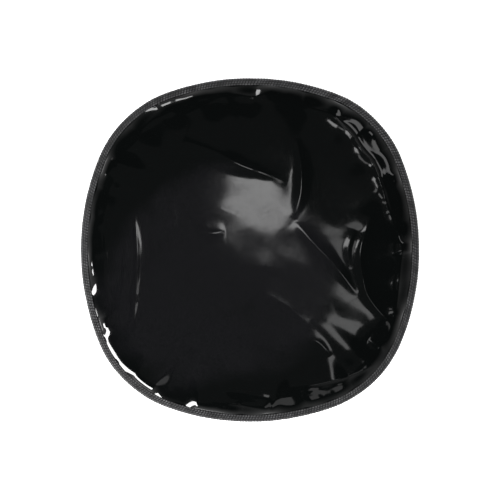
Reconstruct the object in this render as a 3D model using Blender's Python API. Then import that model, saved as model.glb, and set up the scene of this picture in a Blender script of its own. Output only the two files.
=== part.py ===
"""A free-standing film changing bag: a hoop-framed drum with a zipped lid, two arm sleeves and two handles.

Metres, +Z up. The origin is the middle of the base's underside, and the front faces -Y.
Every layer of the bag follows one outline, a square with bowed sides and round corners, so a piece that
runs round the bag is an (inset, height) profile carried along it: inset is how far it lies inside the
outside of the lid's bound edge.
"""

import math

import bmesh
import bpy
from mathutils import Vector

# Outline of the lid's bound edge.
HALF_WIDTH = 0.1900
HALF_DEPTH = 0.1930
SIDE_BOW_RADIUS = 0.2750
CORNER_RADIUS = 0.1310
ARC_STEPS = 6

# Heights.
ZIP_HEIGHT = 0.1780
LID_EDGE_ABOVE_ZIP = 0.0235
BASE_EDGE_HEIGHT = 0.0065

# Clearances between pieces that touch on the real bag.
SEAM_GAP = 0.0003
LIFT_GAP = 0.0014

# Fabric layers.
WALL_INSET = 0.0095
WALL_TAPER = 0.0380
WALL_THICKNESS = 0.0012
LINING_THICKNESS = 0.0010
LAYER_THICKNESS = 0.0008
SEAM_ALLOWANCE = 0.0100

# Bound edges: a tape folded over a wire hoop.
BINDING_FOLD = 0.0084
BINDING_HEIGHT = 0.0070
BINDING_THICKNESS = 0.0013
HOOP_RADIUS = 0.0017
HOOP_SIDES = 6

# Lid.
FILM_CROWN = 0.0062
FILM_ROLL_WIDTH = 0.0160
CROWN_CAP_INSET = 0.1150
LID_OPEN_DEGREES = 150.0

# Base.
BASE_COVER_THICKNESS = 0.0010
BASE_BOARD_THICKNESS = 0.0030
BASE_DISH_WIDTH = 0.0130

# Wall stays.
STAY_RADIUS = 0.0020
STAY_SIDES = 8
STAY_FOOT_HEIGHT = 0.0120

# Zip.
COIL_HALF_HEIGHT = 0.0030
COIL_THICKNESS = 0.0024
TAPE_HALF_HEIGHT = 0.0120
TAPE_THICKNESS = 0.0008
ZIP_END_ANGLE = 8.7
HINGE_END_GAP_ANGLE = 0.1
FLAP_HEIGHT = 0.0150
FLAP_JOG_DROP = 0.0030
FLAP_JOG_RISE = 0.0010
LINING_HEAD_DROP = 0.0040
LINING_SHOULDER_DROP = 0.0080
ZIP_STOP_WIDTH_ANGLE = 1.6
ZIP_STOP_THICKNESS = 0.0012

# Zip sliders and their pulls.
SLIDER_ANGLE = 2.6
SLIDER_LENGTH = 0.0130
SLIDER_HALF_HEIGHT = 0.0056
SLIDER_PLATE = 0.0014
SLIDER_LIP = 0.0016
SLIDER_LIP_HEIGHT = 0.0020
BAIL_RADIUS = 0.0009
BAIL_STAND_OFF = 0.0029
BAIL_POST = 0.0016
PULL_WIDTH = 0.0060
PULL_LENGTH = 0.0290
PULL_THICKNESS = 0.0018
PULL_EYE_WALL = 0.0010

# Side seams.
SIDE_SEAM_ANGLE = 26.0
SIDE_SEAM_HALF_ANGLE = 3.2
SIDE_SEAM_THICKNESS = 0.0010
PANEL_GAP_ANGLE = 0.15

# Arm sleeves.
SLEEVE_ANGLE = 24.0
SLEEVE_HEIGHT = 0.0880
SLEEVE_RADIUS = 0.0500
SLEEVE_THICKNESS = 0.0020
SLEEVE_DEPTH = 0.0200
SLEEVE_STEPS = 24
COLLAR_WIDTH = 0.0110
COLLAR_THICKNESS = 0.0014
CUFF_RADIUS = 0.0380
CUFF_LENGTH = 0.0090
CUFF_HEIGHT = 0.0072
CUFF_THICKNESS = 0.0014
ELASTIC_THICKNESS = 0.0030

# Handles.
HANDLE_HEIGHT = 0.1300
HANDLE_HALF_SPAN = 0.0480
HANDLE_STAND_OFF = 0.0066
HANDLE_WIDTH = 0.0200
HANDLE_THICKNESS = 0.0026
HANDLE_LEG = 0.0090
HANDLE_BEND_RADIUS = 0.0300
HANDLE_BEND_STEPS = 6
EYE_WALL = 0.0014
EYE_SIDES = 12
RING_WIRE_RADIUS = 0.0016
RING_SIDES = 8
RING_DROP = 0.0140
RING_SIDE_GAP = 0.0014
RING_CORNER_RADIUS = 0.0030
PATCH_LENGTH = 0.0300
PATCH_THICKNESS = 0.0016
PATCH_BURIED = 0.0060
LUG_BURIED = 0.0040

# Levels and insets that follow from them.
LID_EDGE_Z = ZIP_HEIGHT + LID_EDGE_ABOVE_ZIP
WALL_TOP_Z = ZIP_HEIGHT - SEAM_ALLOWANCE
WALL_FOOT_Z = BASE_EDGE_HEIGHT + WALL_THICKNESS
WALL_BREAK_Z = ZIP_HEIGHT - TAPE_HALF_HEIGHT - SEAM_GAP
SKIRT_FOOT_Z = ZIP_HEIGHT + SEAM_ALLOWANCE
TAPE_INSET = WALL_INSET + WALL_THICKNESS + SEAM_GAP
COIL_INSET = TAPE_INSET - SEAM_GAP - COIL_THICKNESS
BINDING_ROOM = BINDING_HEIGHT / 2 - BINDING_THICKNESS
HOOP_INSET = BINDING_THICKNESS + SEAM_GAP + HOOP_RADIUS
FOLD_INSET = HOOP_INSET + HOOP_RADIUS + SEAM_GAP
STAY_INSET = WALL_THICKNESS + SEAM_GAP + STAY_RADIUS
RIM_HOOP_INSET = WALL_THICKNESS + 2 * SEAM_GAP + HOOP_RADIUS
LINING_INSET = max(STAY_INSET + STAY_RADIUS, RIM_HOOP_INSET + HOOP_RADIUS) + SEAM_GAP

# Colour, roughness and metallic value of each finish.
FILM = ((0.006, 0.006, 0.006), 0.12, 0.0)
BRAID = ((0.022, 0.022, 0.023), 0.85, 0.0)
CLOTH = ((0.012, 0.012, 0.013), 0.80, 0.0)
LINING = ((0.020, 0.020, 0.021), 0.70, 0.0)
FOAM = ((0.060, 0.060, 0.062), 0.95, 0.0)
BOARD = ((0.050, 0.050, 0.052), 0.60, 0.0)
STEEL = ((0.520, 0.520, 0.530), 0.30, 1.0)
FIBREGLASS = ((0.300, 0.290, 0.230), 0.45, 0.0)
NYLON = ((0.015, 0.015, 0.016), 0.45, 0.0)
BLACK_METAL = ((0.030, 0.030, 0.032), 0.35, 1.0)
ELASTIC = ((0.035, 0.035, 0.036), 0.90, 0.0)
WEBBING = ((0.014, 0.014, 0.015), 0.75, 0.0)


def tangent_angles():
    """How far the front's and the right side's arcs run each way before the corner arcs start."""
    reach = SIDE_BOW_RADIUS - CORNER_RADIUS
    across = (SIDE_BOW_RADIUS - HALF_WIDTH) / reach
    along = (SIDE_BOW_RADIUS - HALF_DEPTH) / reach
    side = math.acos(math.hypot(across, along) / 2) - math.atan2(along, across)
    front = math.asin(math.cos(side) - across)
    return front, side


FRONT_ARC, SIDE_ARC = tangent_angles()


def outline_arcs():
    """The outline's eight arcs, once round from the front: start, end, centre and radius."""
    corner_x = (SIDE_BOW_RADIUS - CORNER_RADIUS) * math.sin(FRONT_ARC)
    corner_y = (SIDE_BOW_RADIUS - CORNER_RADIUS) * math.sin(SIDE_ARC)
    bow_x = SIDE_BOW_RADIUS - HALF_WIDTH
    bow_y = SIDE_BOW_RADIUS - HALF_DEPTH
    turn = math.pi / 2
    arcs = []
    for quarter, (bow, bow_half, next_half) in enumerate(
        [(bow_y, FRONT_ARC, SIDE_ARC), (bow_x, SIDE_ARC, FRONT_ARC)] * 2
    ):
        facing = -turn + quarter * turn
        centre = Vector((-bow * math.cos(facing), -bow * math.sin(facing)))
        arcs.append((facing - bow_half, facing + bow_half, centre, SIDE_BOW_RADIUS))
        diagonal = facing + turn / 2
        corner = Vector(
            (math.copysign(corner_x, math.cos(diagonal)), math.copysign(corner_y, math.sin(diagonal)))
        )
        arcs.append((facing + bow_half, facing + turn - next_half, corner, CORNER_RADIUS))
    return arcs


ARCS = outline_arcs()
FIRST_ANGLE = ARCS[0][0]
FULL_TURN = 2 * math.pi


def place(angle, inset, height):
    """The point of the outline where its outward direction is angle, moved in by inset, at a height."""
    turned = (angle - FIRST_ANGLE) % FULL_TURN + FIRST_ANGLE
    for start, end, centre, radius in ARCS:
        if turned <= end + 1e-9:
            break
    return Vector(
        (
            centre.x + (radius - inset) * math.cos(angle),
            centre.y + (radius - inset) * math.sin(angle),
            height,
        )
    )


def arc_stations():
    """The outward directions at which every piece that runs round the bag has a section."""
    angles = []
    for start, end, _, _ in ARCS:
        angles += [start + (end - start) * step / ARC_STEPS for step in range(ARC_STEPS)]
    return angles


def stations_between(start, end):
    """The sections from one outward direction on to another, both in radians and end above start."""
    inner = []
    for turns in (-1, 0, 1, 2):
        inner += [angle + turns * FULL_TURN for angle in arc_stations()]
    margin = math.radians(0.3)
    return [start] + sorted(a for a in inner if start + margin < a < end - margin) + [end]


def on_facet(angle, inset, height):
    """As place, but on the flat between two sections where the direction falls between them."""
    step = arc_stations()
    stops = [a + turns * FULL_TURN for turns in (-1, 0, 1, 2) for a in step]
    before = max(a for a in stops if a <= angle + 1e-9)
    after = min(a for a in stops if a > angle + 1e-9)
    share = (angle - before) / (after - before)
    return place(before, inset, height).lerp(place(after, inset, height), share)


def wall_inset(height):
    """Inset of the wall's outer face at a height: upright behind the zip, and tapering in below it."""
    return WALL_INSET + WALL_TAPER * max(0.0, WALL_BREAK_Z - height) / (WALL_BREAK_Z - WALL_FOOT_Z)


BASE_BINDING_INSET = wall_inset(BASE_EDGE_HEIGHT + BINDING_HEIGHT / 2) - SEAM_GAP - BINDING_FOLD


def finished(name, mesh, finish, parent=None, location=(0.0, 0.0, 0.0), rotation=(0.0, 0.0, 0.0)):
    """An object for a mesh, in its own material and place."""
    colour, roughness, metallic = finish
    material = bpy.data.materials.new(name)
    material.use_nodes = True
    shader = material.node_tree.nodes["Principled BSDF"]
    shader.inputs["Base Color"].default_value = (*colour, 1.0)
    shader.inputs["Roughness"].default_value = roughness
    shader.inputs["Metallic"].default_value = metallic
    mesh.materials.append(material)
    mesh.shade_smooth()
    mesh.set_sharp_from_angle(angle=math.radians(35))
    piece = bpy.data.objects.new(name, mesh)
    bpy.context.scene.collection.objects.link(piece)
    piece.location = location
    piece.rotation_euler = rotation
    piece.parent = parent
    return piece


def guide(name, mesh, parent=None, location=(0.0, 0.0, 0.0), rotation=(0.0, 0.0, 0.0)):
    """A cutter or other helper shape, which isn't a piece of the bag."""
    helper = bpy.data.objects.new(name, mesh)
    bpy.context.scene.collection.objects.link(helper)
    helper.location = location
    helper.rotation_euler = rotation
    helper.parent = parent
    helper.hide_render = True
    helper.display_type = "WIRE"
    return helper


def pivot(name, location, rotation=(0.0, 0.0, 0.0)):
    """An empty on a joint's axis."""
    empty = bpy.data.objects.new(name, None)
    bpy.context.scene.collection.objects.link(empty)
    empty.location = location
    empty.rotation_euler = rotation
    return empty


def boolean(piece, cutter, operation="DIFFERENCE"):
    """Cut, join or limit a piece by a helper shape."""
    modifier = piece.modifiers.new(cutter.name, "BOOLEAN")
    modifier.operation = operation
    modifier.solver = "EXACT"
    modifier.object = cutter


def loft(name, sections, ring=False):
    """A closed mesh through sections of equal length, capped at both ends or joined into a ring."""
    bm = bmesh.new()
    rows = [[bm.verts.new(point) for point in section] for section in sections]
    pairs = list(zip(rows, rows[1:]))
    if ring:
        pairs.append((rows[-1], rows[0]))
    for near, far in pairs:
        for index in range(len(near)):
            after = (index + 1) % len(near)
            bm.faces.new((near[index], near[after], far[after], far[index]))
    if not ring:
        bm.faces.new(rows[0])
        bm.faces.new(rows[-1])
    bmesh.ops.recalc_face_normals(bm, faces=bm.faces)
    mesh = bpy.data.meshes.new(name)
    bm.to_mesh(mesh)
    bm.free()
    return mesh


def band(name, profile, start=None, end=None):
    """A closed (inset, height) profile carried round the outline, or between two directions in degrees."""
    whole = start is None
    angles = arc_stations() if whole else stations_between(math.radians(start), math.radians(end))
    sections = [[on_facet(angle, inset, height) for inset, height in profile] for angle in angles]
    return loft(name, sections, ring=whole)


def disc(name, profile):
    """A solid whose (inset, height) profile runs from its top cap's edge out and back to its bottom cap's."""
    sections = [[place(angle, inset, height) for angle in arc_stations()] for inset, height in profile]
    return loft(name, sections)


def flat_disc(name, inset, bottom, top):
    """A flat disc of the outline's shape."""
    return disc(name, [(inset, top), (inset, bottom)])


def circle(radius, sides, centre=(0.0, 0.0)):
    """The corners of a circle of (across, up) points."""
    return [
        (
            centre[0] + radius * math.cos(FULL_TURN * side / sides),
            centre[1] + radius * math.sin(FULL_TURN * side / sides),
        )
        for side in range(sides)
    ]


def lathe(name, profile, steps):
    """A closed (radius, along) profile turned about Z."""
    sections = []
    for step in range(steps):
        angle = FULL_TURN * step / steps
        sections.append([(r * math.cos(angle), r * math.sin(angle), along) for r, along in profile])
    return loft(name, sections, ring=True)


def prism(name, outline, half_length):
    """A (y, z) outline drawn out along X to both sides."""
    return loft(name, [[(x, y, z) for y, z in outline] for x in (-half_length, half_length)])


def bound_edge(name, outer_inset, middle):
    """The folded tape of a bound edge: a C section that opens inward."""
    half = BINDING_HEIGHT / 2
    room = BINDING_ROOM
    fold = outer_inset + BINDING_FOLD
    round_off = 0.3 * BINDING_HEIGHT
    profile = [
        (fold, middle + half),
        (outer_inset + round_off, middle + half),
        (outer_inset + 0.25 * round_off, middle + half - 0.6 * round_off),
        (outer_inset, middle),
        (outer_inset + 0.25 * round_off, middle - half + 0.6 * round_off),
        (outer_inset + round_off, middle - half),
        (fold, middle - half),
        (fold, middle - room),
        (outer_inset + BINDING_THICKNESS, middle - room),
        (outer_inset + BINDING_THICKNESS, middle + room),
        (fold, middle + room),
    ]
    return finished(name, band(name, profile), BRAID)


def hoop(name, inset, height):
    """A wire hoop."""
    mesh = band(name, circle(HOOP_RADIUS, HOOP_SIDES, (inset, height)))
    return finished(name, mesh, STEEL)


def build_base():
    """The base: its cover, board and lining, and the bound seam that joins it to the wall."""
    edge = BASE_BINDING_INSET
    flange = edge + FOLD_INSET
    turn = edge + SEAM_ALLOWANCE
    flat = edge + BASE_DISH_WIDTH
    flange_top = BASE_EDGE_HEIGHT - SEAM_GAP
    flange_foot = flange_top - BASE_COVER_THICKNESS
    cover = [
        (flat, BASE_COVER_THICKNESS),
        (turn, flange_top),
        (flange, flange_top),
        (flange, flange_foot),
        (turn, flange_foot),
        (flat, 0.0),
    ]
    finished("base_cover", disc("base_cover", cover), CLOTH)
    board_foot = BASE_COVER_THICKNESS + SEAM_GAP
    board_top = board_foot + BASE_BOARD_THICKNESS
    board_inset = flat + SEAM_GAP
    finished("base_board", flat_disc("base_board", board_inset, board_foot, board_top), BOARD)
    lining_foot = board_top + SEAM_GAP
    lining_top = lining_foot + LAYER_THICKNESS
    lining_inset = wall_inset(lining_top) + LINING_INSET + LINING_THICKNESS
    mesh = flat_disc("base_lining", lining_inset, lining_foot, lining_top)
    finished("base_lining", mesh, LINING)
    bound_edge("base_binding", edge, BASE_EDGE_HEIGHT)
    hoop("base_hoop", edge + HOOP_INSET, BASE_EDGE_HEIGHT)
    return lining_top


def wall_profile():
    """The wall's section: the sloping panel and the flange that the base's binding holds."""
    flange = BASE_BINDING_INSET + FOLD_INSET
    foot_inset = wall_inset(WALL_FOOT_Z)
    return [
        (WALL_INSET, WALL_TOP_Z),
        (WALL_INSET, WALL_BREAK_Z),
        (foot_inset, WALL_FOOT_Z),
        (flange, WALL_FOOT_Z),
        (flange, BASE_EDGE_HEIGHT),
        (foot_inset + WALL_THICKNESS, BASE_EDGE_HEIGHT),
        (WALL_INSET + WALL_THICKNESS, WALL_BREAK_Z),
        (WALL_INSET + WALL_THICKNESS, WALL_TOP_Z),
    ]


def sleeve_place(side):
    """Where a sleeve's axis meets the wall, and the rotation that points its Z outward; side is -1 or 1."""
    angle = -math.pi / 2 + side * math.radians(SLEEVE_ANGLE)
    return place(angle, wall_inset(SLEEVE_HEIGHT), SLEEVE_HEIGHT), (
        math.pi / 2,
        0.0,
        side * math.radians(SLEEVE_ANGLE),
    )


def build_walls(lining_foot, sleeve_cutters):
    """The front and rear wall panels, their seam tapes, the lining and the stays between the layers."""
    right = SIDE_SEAM_ANGLE
    left = 180.0 - SIDE_SEAM_ANGLE
    front_mesh = band("wall_front", wall_profile(), left + PANEL_GAP_ANGLE, right + 360.0 - PANEL_GAP_ANGLE)
    front = finished("wall_front", front_mesh, CLOTH)
    finished("wall_rear", band("wall_rear", wall_profile(), right, left), CLOTH)

    tape_foot = BASE_EDGE_HEIGHT + BINDING_HEIGHT / 2 + SEAM_GAP
    outside = SEAM_GAP + SIDE_SEAM_THICKNESS
    tape = [
        (WALL_INSET - outside, WALL_TOP_Z),
        (WALL_INSET - outside, WALL_BREAK_Z),
        (wall_inset(tape_foot) - outside, tape_foot),
        (wall_inset(tape_foot) - SEAM_GAP, tape_foot),
        (WALL_INSET - SEAM_GAP, WALL_BREAK_Z),
        (WALL_INSET - SEAM_GAP, WALL_TOP_Z),
    ]
    for name, middle in (("side_seam_right", right), ("side_seam_left", left)):
        mesh = band(name, tape, middle - SIDE_SEAM_HALF_ANGLE, middle + SIDE_SEAM_HALF_ANGLE)
        finished(name, mesh, BRAID)

    shoulder = WALL_TOP_Z - LINING_SHOULDER_DROP
    head = ZIP_HEIGHT - LINING_HEAD_DROP
    head_inset = TAPE_INSET + TAPE_THICKNESS + SEAM_GAP + LAYER_THICKNESS + SEAM_GAP
    foot = lining_foot + SEAM_GAP
    outer = [
        (head_inset, head),
        (wall_inset(shoulder) + LINING_INSET, shoulder),
        (wall_inset(foot) + LINING_INSET, foot),
    ]
    inner = [(inset + LINING_THICKNESS, height) for inset, height in reversed(outer)]
    lining = finished("wall_lining", band("wall_lining", outer + inner), LINING)
    for cutter in sleeve_cutters:
        boolean(front, cutter)
        boolean(lining, cutter)

    stay_top = shoulder - SEAM_GAP
    middles = [0.5 * (start + end) for start, end, _, _ in ARCS]
    spots = {
        "front": middles[0],
        "side_right": ARCS[2][0],
        "rear_right": middles[3],
        "rear_left": middles[5],
        "side_left": ARCS[6][1],
    }
    for name, angle in spots.items():
        ends = []
        for height in (STAY_FOOT_HEIGHT, stay_top):
            middle = place(angle, wall_inset(height) + STAY_INSET, height)
            out = Vector((math.cos(angle), math.sin(angle), 0.0))
            along = Vector((-math.sin(angle), math.cos(angle), 0.0))
            ends.append([middle + out * a + along * b for a, b in circle(STAY_RADIUS, STAY_SIDES)])
        stay = f"stay_{name}"
        finished(stay, loft(stay, ends), FIBREGLASS)
    rim_z = ZIP_HEIGHT - TAPE_HALF_HEIGHT - 2 * SEAM_GAP - HOOP_RADIUS
    hoop("rim_hoop", wall_inset(rim_z) + RIM_HOOP_INSET, rim_z)


def tape_profile(low, high):
    """The section of a zip tape between two heights."""
    return [
        (TAPE_INSET, high),
        (TAPE_INSET, low),
        (TAPE_INSET + TAPE_THICKNESS, low),
        (TAPE_INSET + TAPE_THICKNESS, high),
    ]


def coil_profile(low, high):
    """The section of a zip's row of coil teeth, with its outer corners taken off."""
    corner = 0.3 * COIL_THICKNESS
    inner = COIL_INSET + COIL_THICKNESS
    return [
        (COIL_INSET, high - corner),
        (COIL_INSET, low + corner),
        (COIL_INSET + corner, low),
        (inner, low),
        (inner, high),
        (COIL_INSET + corner, high),
    ]


def build_zip(hinge):
    """The zip's two rows, the light flap behind it, its end stops and the cloth hinge at the rear."""
    start = 90.0 + ZIP_END_ANGLE
    end = 450.0 - ZIP_END_ANGLE
    half_gap = SEAM_GAP / 2
    below = ZIP_HEIGHT - half_gap
    above = ZIP_HEIGHT + half_gap
    low_tape = tape_profile(ZIP_HEIGHT - TAPE_HALF_HEIGHT, below)
    high_tape = tape_profile(above, ZIP_HEIGHT + TAPE_HALF_HEIGHT)
    low_coil = coil_profile(ZIP_HEIGHT - COIL_HALF_HEIGHT, below)
    high_coil = coil_profile(above, ZIP_HEIGHT + COIL_HALF_HEIGHT)
    finished("zip_tape_lower", band("zip_tape_lower", low_tape, start, end), WEBBING)
    finished("zip_coil_lower", band("zip_coil_lower", low_coil, start, end), NYLON)
    away = -hinge.location
    finished("zip_tape_upper", band("zip_tape_upper", high_tape, start, end), WEBBING, hinge, away)
    finished("zip_coil_upper", band("zip_coil_upper", high_coil, start, end), NYLON, hinge, away)

    reach = ZIP_END_ANGLE - HINGE_END_GAP_ANGLE
    cloth = tape_profile(ZIP_HEIGHT - TAPE_HALF_HEIGHT, ZIP_HEIGHT + TAPE_HALF_HEIGHT)
    finished("hinge_tape", band("hinge_tape", cloth, 90.0 - reach, 90.0 + reach), CLOTH)

    sewn = TAPE_INSET + TAPE_THICKNESS + SEAM_GAP
    free = TAPE_INSET + TAPE_THICKNESS + LIFT_GAP
    jog = ZIP_HEIGHT - FLAP_JOG_DROP
    flap = [
        (free, ZIP_HEIGHT + FLAP_HEIGHT),
        (free, jog + FLAP_JOG_RISE),
        (sewn, jog),
        (sewn, ZIP_HEIGHT - TAPE_HALF_HEIGHT + SEAM_GAP),
        (sewn + LAYER_THICKNESS, ZIP_HEIGHT - TAPE_HALF_HEIGHT + SEAM_GAP),
        (sewn + LAYER_THICKNESS, jog),
        (free + LAYER_THICKNESS, jog + FLAP_JOG_RISE),
        (free + LAYER_THICKNESS, ZIP_HEIGHT + FLAP_HEIGHT),
    ]
    finished("light_flap", band("light_flap", flap), LINING)

    stop = [
        (TAPE_INSET - SEAM_GAP - ZIP_STOP_THICKNESS, below),
        (TAPE_INSET - SEAM_GAP - ZIP_STOP_THICKNESS, WALL_TOP_Z + SEAM_GAP),
        (TAPE_INSET - SEAM_GAP, WALL_TOP_Z + SEAM_GAP),
        (TAPE_INSET - SEAM_GAP, below),
    ]
    clear = math.degrees(SEAM_GAP / SIDE_BOW_RADIUS)
    for name, near in (
        ("zip_stop_right", 90.0 - ZIP_END_ANGLE + clear),
        ("zip_stop_left", 90.0 + ZIP_END_ANGLE - clear - ZIP_STOP_WIDTH_ANGLE),
    ):
        finished(name, band(name, stop, near, near + ZIP_STOP_WIDTH_ANGLE), BLACK_METAL)


def crowned(edge_top):
    """The film's upper face as (inset, height) points, from its middle out to its sewn edge."""
    roll = BINDING_FOLD + FILM_ROLL_WIDTH
    return [
        (CROWN_CAP_INSET, edge_top + FILM_CROWN),
        (0.5 * (CROWN_CAP_INSET + roll), edge_top + 0.97 * FILM_CROWN),
        (roll, edge_top + 0.86 * FILM_CROWN),
        (BINDING_FOLD + 0.35 * FILM_ROLL_WIDTH, edge_top + 0.60 * FILM_CROWN),
        (BINDING_FOLD + SEAM_GAP, edge_top),
        (FOLD_INSET, edge_top),
    ]


def build_lid(hinge):
    """The lid: film face, foam, lining and skirt, sewn together in a bound edge over a hoop."""
    away = -hinge.location
    edge_top = LID_EDGE_Z + BINDING_ROOM - SEAM_GAP
    upper = crowned(edge_top)
    under = [(inset, height - LAYER_THICKNESS) for inset, height in reversed(upper)]
    finished("lid_film", disc("lid_film", upper + under), FILM, hinge, away)

    lining_half = LAYER_THICKNESS / 2
    mesh = flat_disc("lid_lining", FOLD_INSET, LID_EDGE_Z - lining_half, LID_EDGE_Z + lining_half)
    finished("lid_lining", mesh, LINING, hinge, away)

    below_film = LAYER_THICKNESS + SEAM_GAP
    pad_top = [(inset, height - below_film) for inset, height in upper[:4]]
    pad_foot = LID_EDGE_Z + lining_half + SEAM_GAP
    pad_inset = pad_top[-1][0] + SEAM_GAP
    pad_top[-1] = (pad_inset, pad_top[-1][1])
    finished("lid_pad", disc("lid_pad", pad_top + [(pad_inset, pad_foot)]), FOAM, hinge, away)

    binding = bound_edge("lid_binding", 0.0, LID_EDGE_Z)
    wire = hoop("lid_hoop", HOOP_INSET, LID_EDGE_Z)
    for piece in (binding, wire):
        piece.parent = hinge
        piece.location = away

    flange_foot = LID_EDGE_Z - BINDING_ROOM + SEAM_GAP
    flange_top = flange_foot + LAYER_THICKNESS
    skirt = [
        (FOLD_INSET, flange_top),
        (FOLD_INSET, flange_foot),
        (WALL_INSET, flange_foot),
        (WALL_INSET, SKIRT_FOOT_Z),
        (WALL_INSET + WALL_THICKNESS, SKIRT_FOOT_Z),
        (WALL_INSET + WALL_THICKNESS, flange_top),
    ]
    finished("lid_skirt", band("lid_skirt", skirt), CLOTH, hinge, away)


def envelope(name, gap):
    """A helper that fills the wall, grown outward by gap."""
    levels = (WALL_TOP_Z, WALL_BREAK_Z, WALL_FOOT_Z)
    return guide(name, disc(name, [(wall_inset(height) - gap, height) for height in levels]))


def build_sleeve(word, side, skin, cover):
    """A sleeve's collar on the wall, its gathered tube, and its elastic cuff."""
    spot, turned = sleeve_place(side)
    deep = -1.2 * SLEEVE_RADIUS
    proud = 0.6 * SLEEVE_RADIUS

    root_outer = SLEEVE_RADIUS + 0.75 * SLEEVE_THICKNESS
    collar_inner = root_outer + SEAM_GAP
    ring = [
        (collar_inner + COLLAR_WIDTH, proud),
        (collar_inner + COLLAR_WIDTH, deep),
        (collar_inner, deep),
        (collar_inner, proud),
    ]
    name = f"sleeve_collar_{word}"
    collar = finished(name, lathe(name, ring, SLEEVE_STEPS), WEBBING, None, spot, turned)
    boolean(collar, cover, "INTERSECT")
    boolean(collar, skin)

    tube_outer = [
        (root_outer, deep),
        (root_outer, 0.35 * SLEEVE_DEPTH),
        (0.5 * (root_outer + CUFF_RADIUS), 0.80 * SLEEVE_DEPTH),
        (CUFF_RADIUS, SLEEVE_DEPTH - SEAM_GAP),
    ]
    tube_inner = [(r - SLEEVE_THICKNESS, along) for r, along in reversed(tube_outer)]
    name = f"sleeve_{word}"
    tube = finished(name, lathe(name, tube_outer + tube_inner, SLEEVE_STEPS), CLOTH, None, spot, turned)
    boolean(tube, skin)

    inner = CUFF_RADIUS - CUFF_HEIGHT
    near = SLEEVE_DEPTH
    far = SLEEVE_DEPTH + CUFF_LENGTH
    hem = [
        (CUFF_RADIUS, near),
        (CUFF_RADIUS, far),
        (inner, far),
        (inner, far - CUFF_THICKNESS),
        (CUFF_RADIUS - CUFF_THICKNESS, far - CUFF_THICKNESS),
        (CUFF_RADIUS - CUFF_THICKNESS, near + CUFF_THICKNESS),
        (inner, near + CUFF_THICKNESS),
        (inner, near),
    ]
    name = f"cuff_{word}"
    finished(name, lathe(name, hem, SLEEVE_STEPS), CLOTH, None, spot, turned)
    band_outer = CUFF_RADIUS - CUFF_THICKNESS - SEAM_GAP
    elastic = [
        (band_outer, near + CUFF_THICKNESS + SEAM_GAP),
        (band_outer, far - CUFF_THICKNESS - SEAM_GAP),
        (band_outer - ELASTIC_THICKNESS, far - CUFF_THICKNESS - SEAM_GAP),
        (band_outer - ELASTIC_THICKNESS, near + CUFF_THICKNESS + SEAM_GAP),
    ]
    name = f"cuff_elastic_{word}"
    finished(name, lathe(name, elastic, SLEEVE_STEPS), ELASTIC, None, spot, turned)


def build_slider(word, side):
    """A zip slider and its pull, on a pivot at the middle of the front's arc."""
    centre = Vector((0.0, SIDE_BOW_RADIUS - HALF_DEPTH, ZIP_HEIGHT))
    travel = pivot(f"slider_travel_{word}", centre, (0.0, 0.0, side * math.radians(SLIDER_ANGLE)))
    face = -(SIDE_BOW_RADIUS - COIL_INSET + SEAM_GAP)
    front = face - SLIDER_PLATE
    lip_top = -COIL_HALF_HEIGHT - SEAM_GAP
    lip_foot = lip_top - SLIDER_LIP_HEIGHT
    section = [
        (front, SLIDER_HALF_HEIGHT),
        (front, lip_foot),
        (face + SLIDER_LIP, lip_foot),
        (face + SLIDER_LIP, lip_top),
        (face, lip_top),
        (face, SLIDER_HALF_HEIGHT),
    ]
    half = SLIDER_LENGTH / 2
    name = f"zip_slider_{word}"
    body = finished(name, prism(name, section, half), BLACK_METAL, travel)

    bar = front - BAIL_STAND_OFF
    bail_reach = PULL_WIDTH / 2 + SEAM_GAP + BAIL_POST
    helper = guide(
        f"bail_{word}",
        prism(f"bail_{word}", circle(BAIL_RADIUS, EYE_SIDES, (bar, 0.0)), bail_reach),
        travel,
    )
    boolean(body, helper, "UNION")
    root = front + 0.5 * SLIDER_PLATE
    post = [
        (root, BAIL_RADIUS),
        (root, -BAIL_RADIUS),
        (bar, -BAIL_RADIUS),
        (bar, BAIL_RADIUS),
    ]
    for end in (-1, 1):
        label = f"bail_post_{word}_{'near' if end < 0 else 'far'}"
        across = end * (bail_reach - BAIL_POST / 2)
        helper = guide(label, prism(label, post, BAIL_POST / 2), travel, (across, 0.0, 0.0))
        boolean(body, helper, "UNION")

    eye_inner = BAIL_RADIUS + SEAM_GAP
    eye_outer = eye_inner + PULL_EYE_WALL
    thin = PULL_THICKNESS / 2
    lean = math.asin(thin / eye_outer)
    steps = EYE_SIDES
    round_top = []
    for step in range(steps + 1):
        angle = -math.pi / 2 + lean + (FULL_TURN - 2 * lean) * step / steps
        round_top.append((eye_outer * math.cos(angle), eye_outer * math.sin(angle)))
    foot = -PULL_LENGTH
    shape = [(thin, foot)] + round_top + [(-thin, foot)]
    name = f"zip_pull_{word}"
    pull = finished(name, prism(name, shape, PULL_WIDTH / 2), WEBBING, travel, (0.0, bar, 0.0))
    bore = guide(
        f"pull_bore_{word}",
        prism(f"pull_bore_{word}", circle(eye_inner, EYE_SIDES), PULL_WIDTH),
        travel,
        (0.0, bar, 0.0),
    )
    boolean(pull, bore)


def ring_path():
    """A handle ring's centre line as (y, z) points, with its upper bar at z = 0."""
    half = HANDLE_WIDTH / 2 + RING_SIDE_GAP + RING_WIRE_RADIUS
    corner = RING_CORNER_RADIUS
    points = []
    for quarter, (y, z) in enumerate(
        [
            (half - corner, -corner),
            (-half + corner, -corner),
            (-half + corner, -RING_DROP + corner),
            (half - corner, -RING_DROP + corner),
        ]
    ):
        for step in range(4):
            angle = math.pi / 2 * (quarter + step / 3)
            points.append((y + corner * math.cos(angle), z + corner * math.sin(angle)))
    return points


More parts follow.
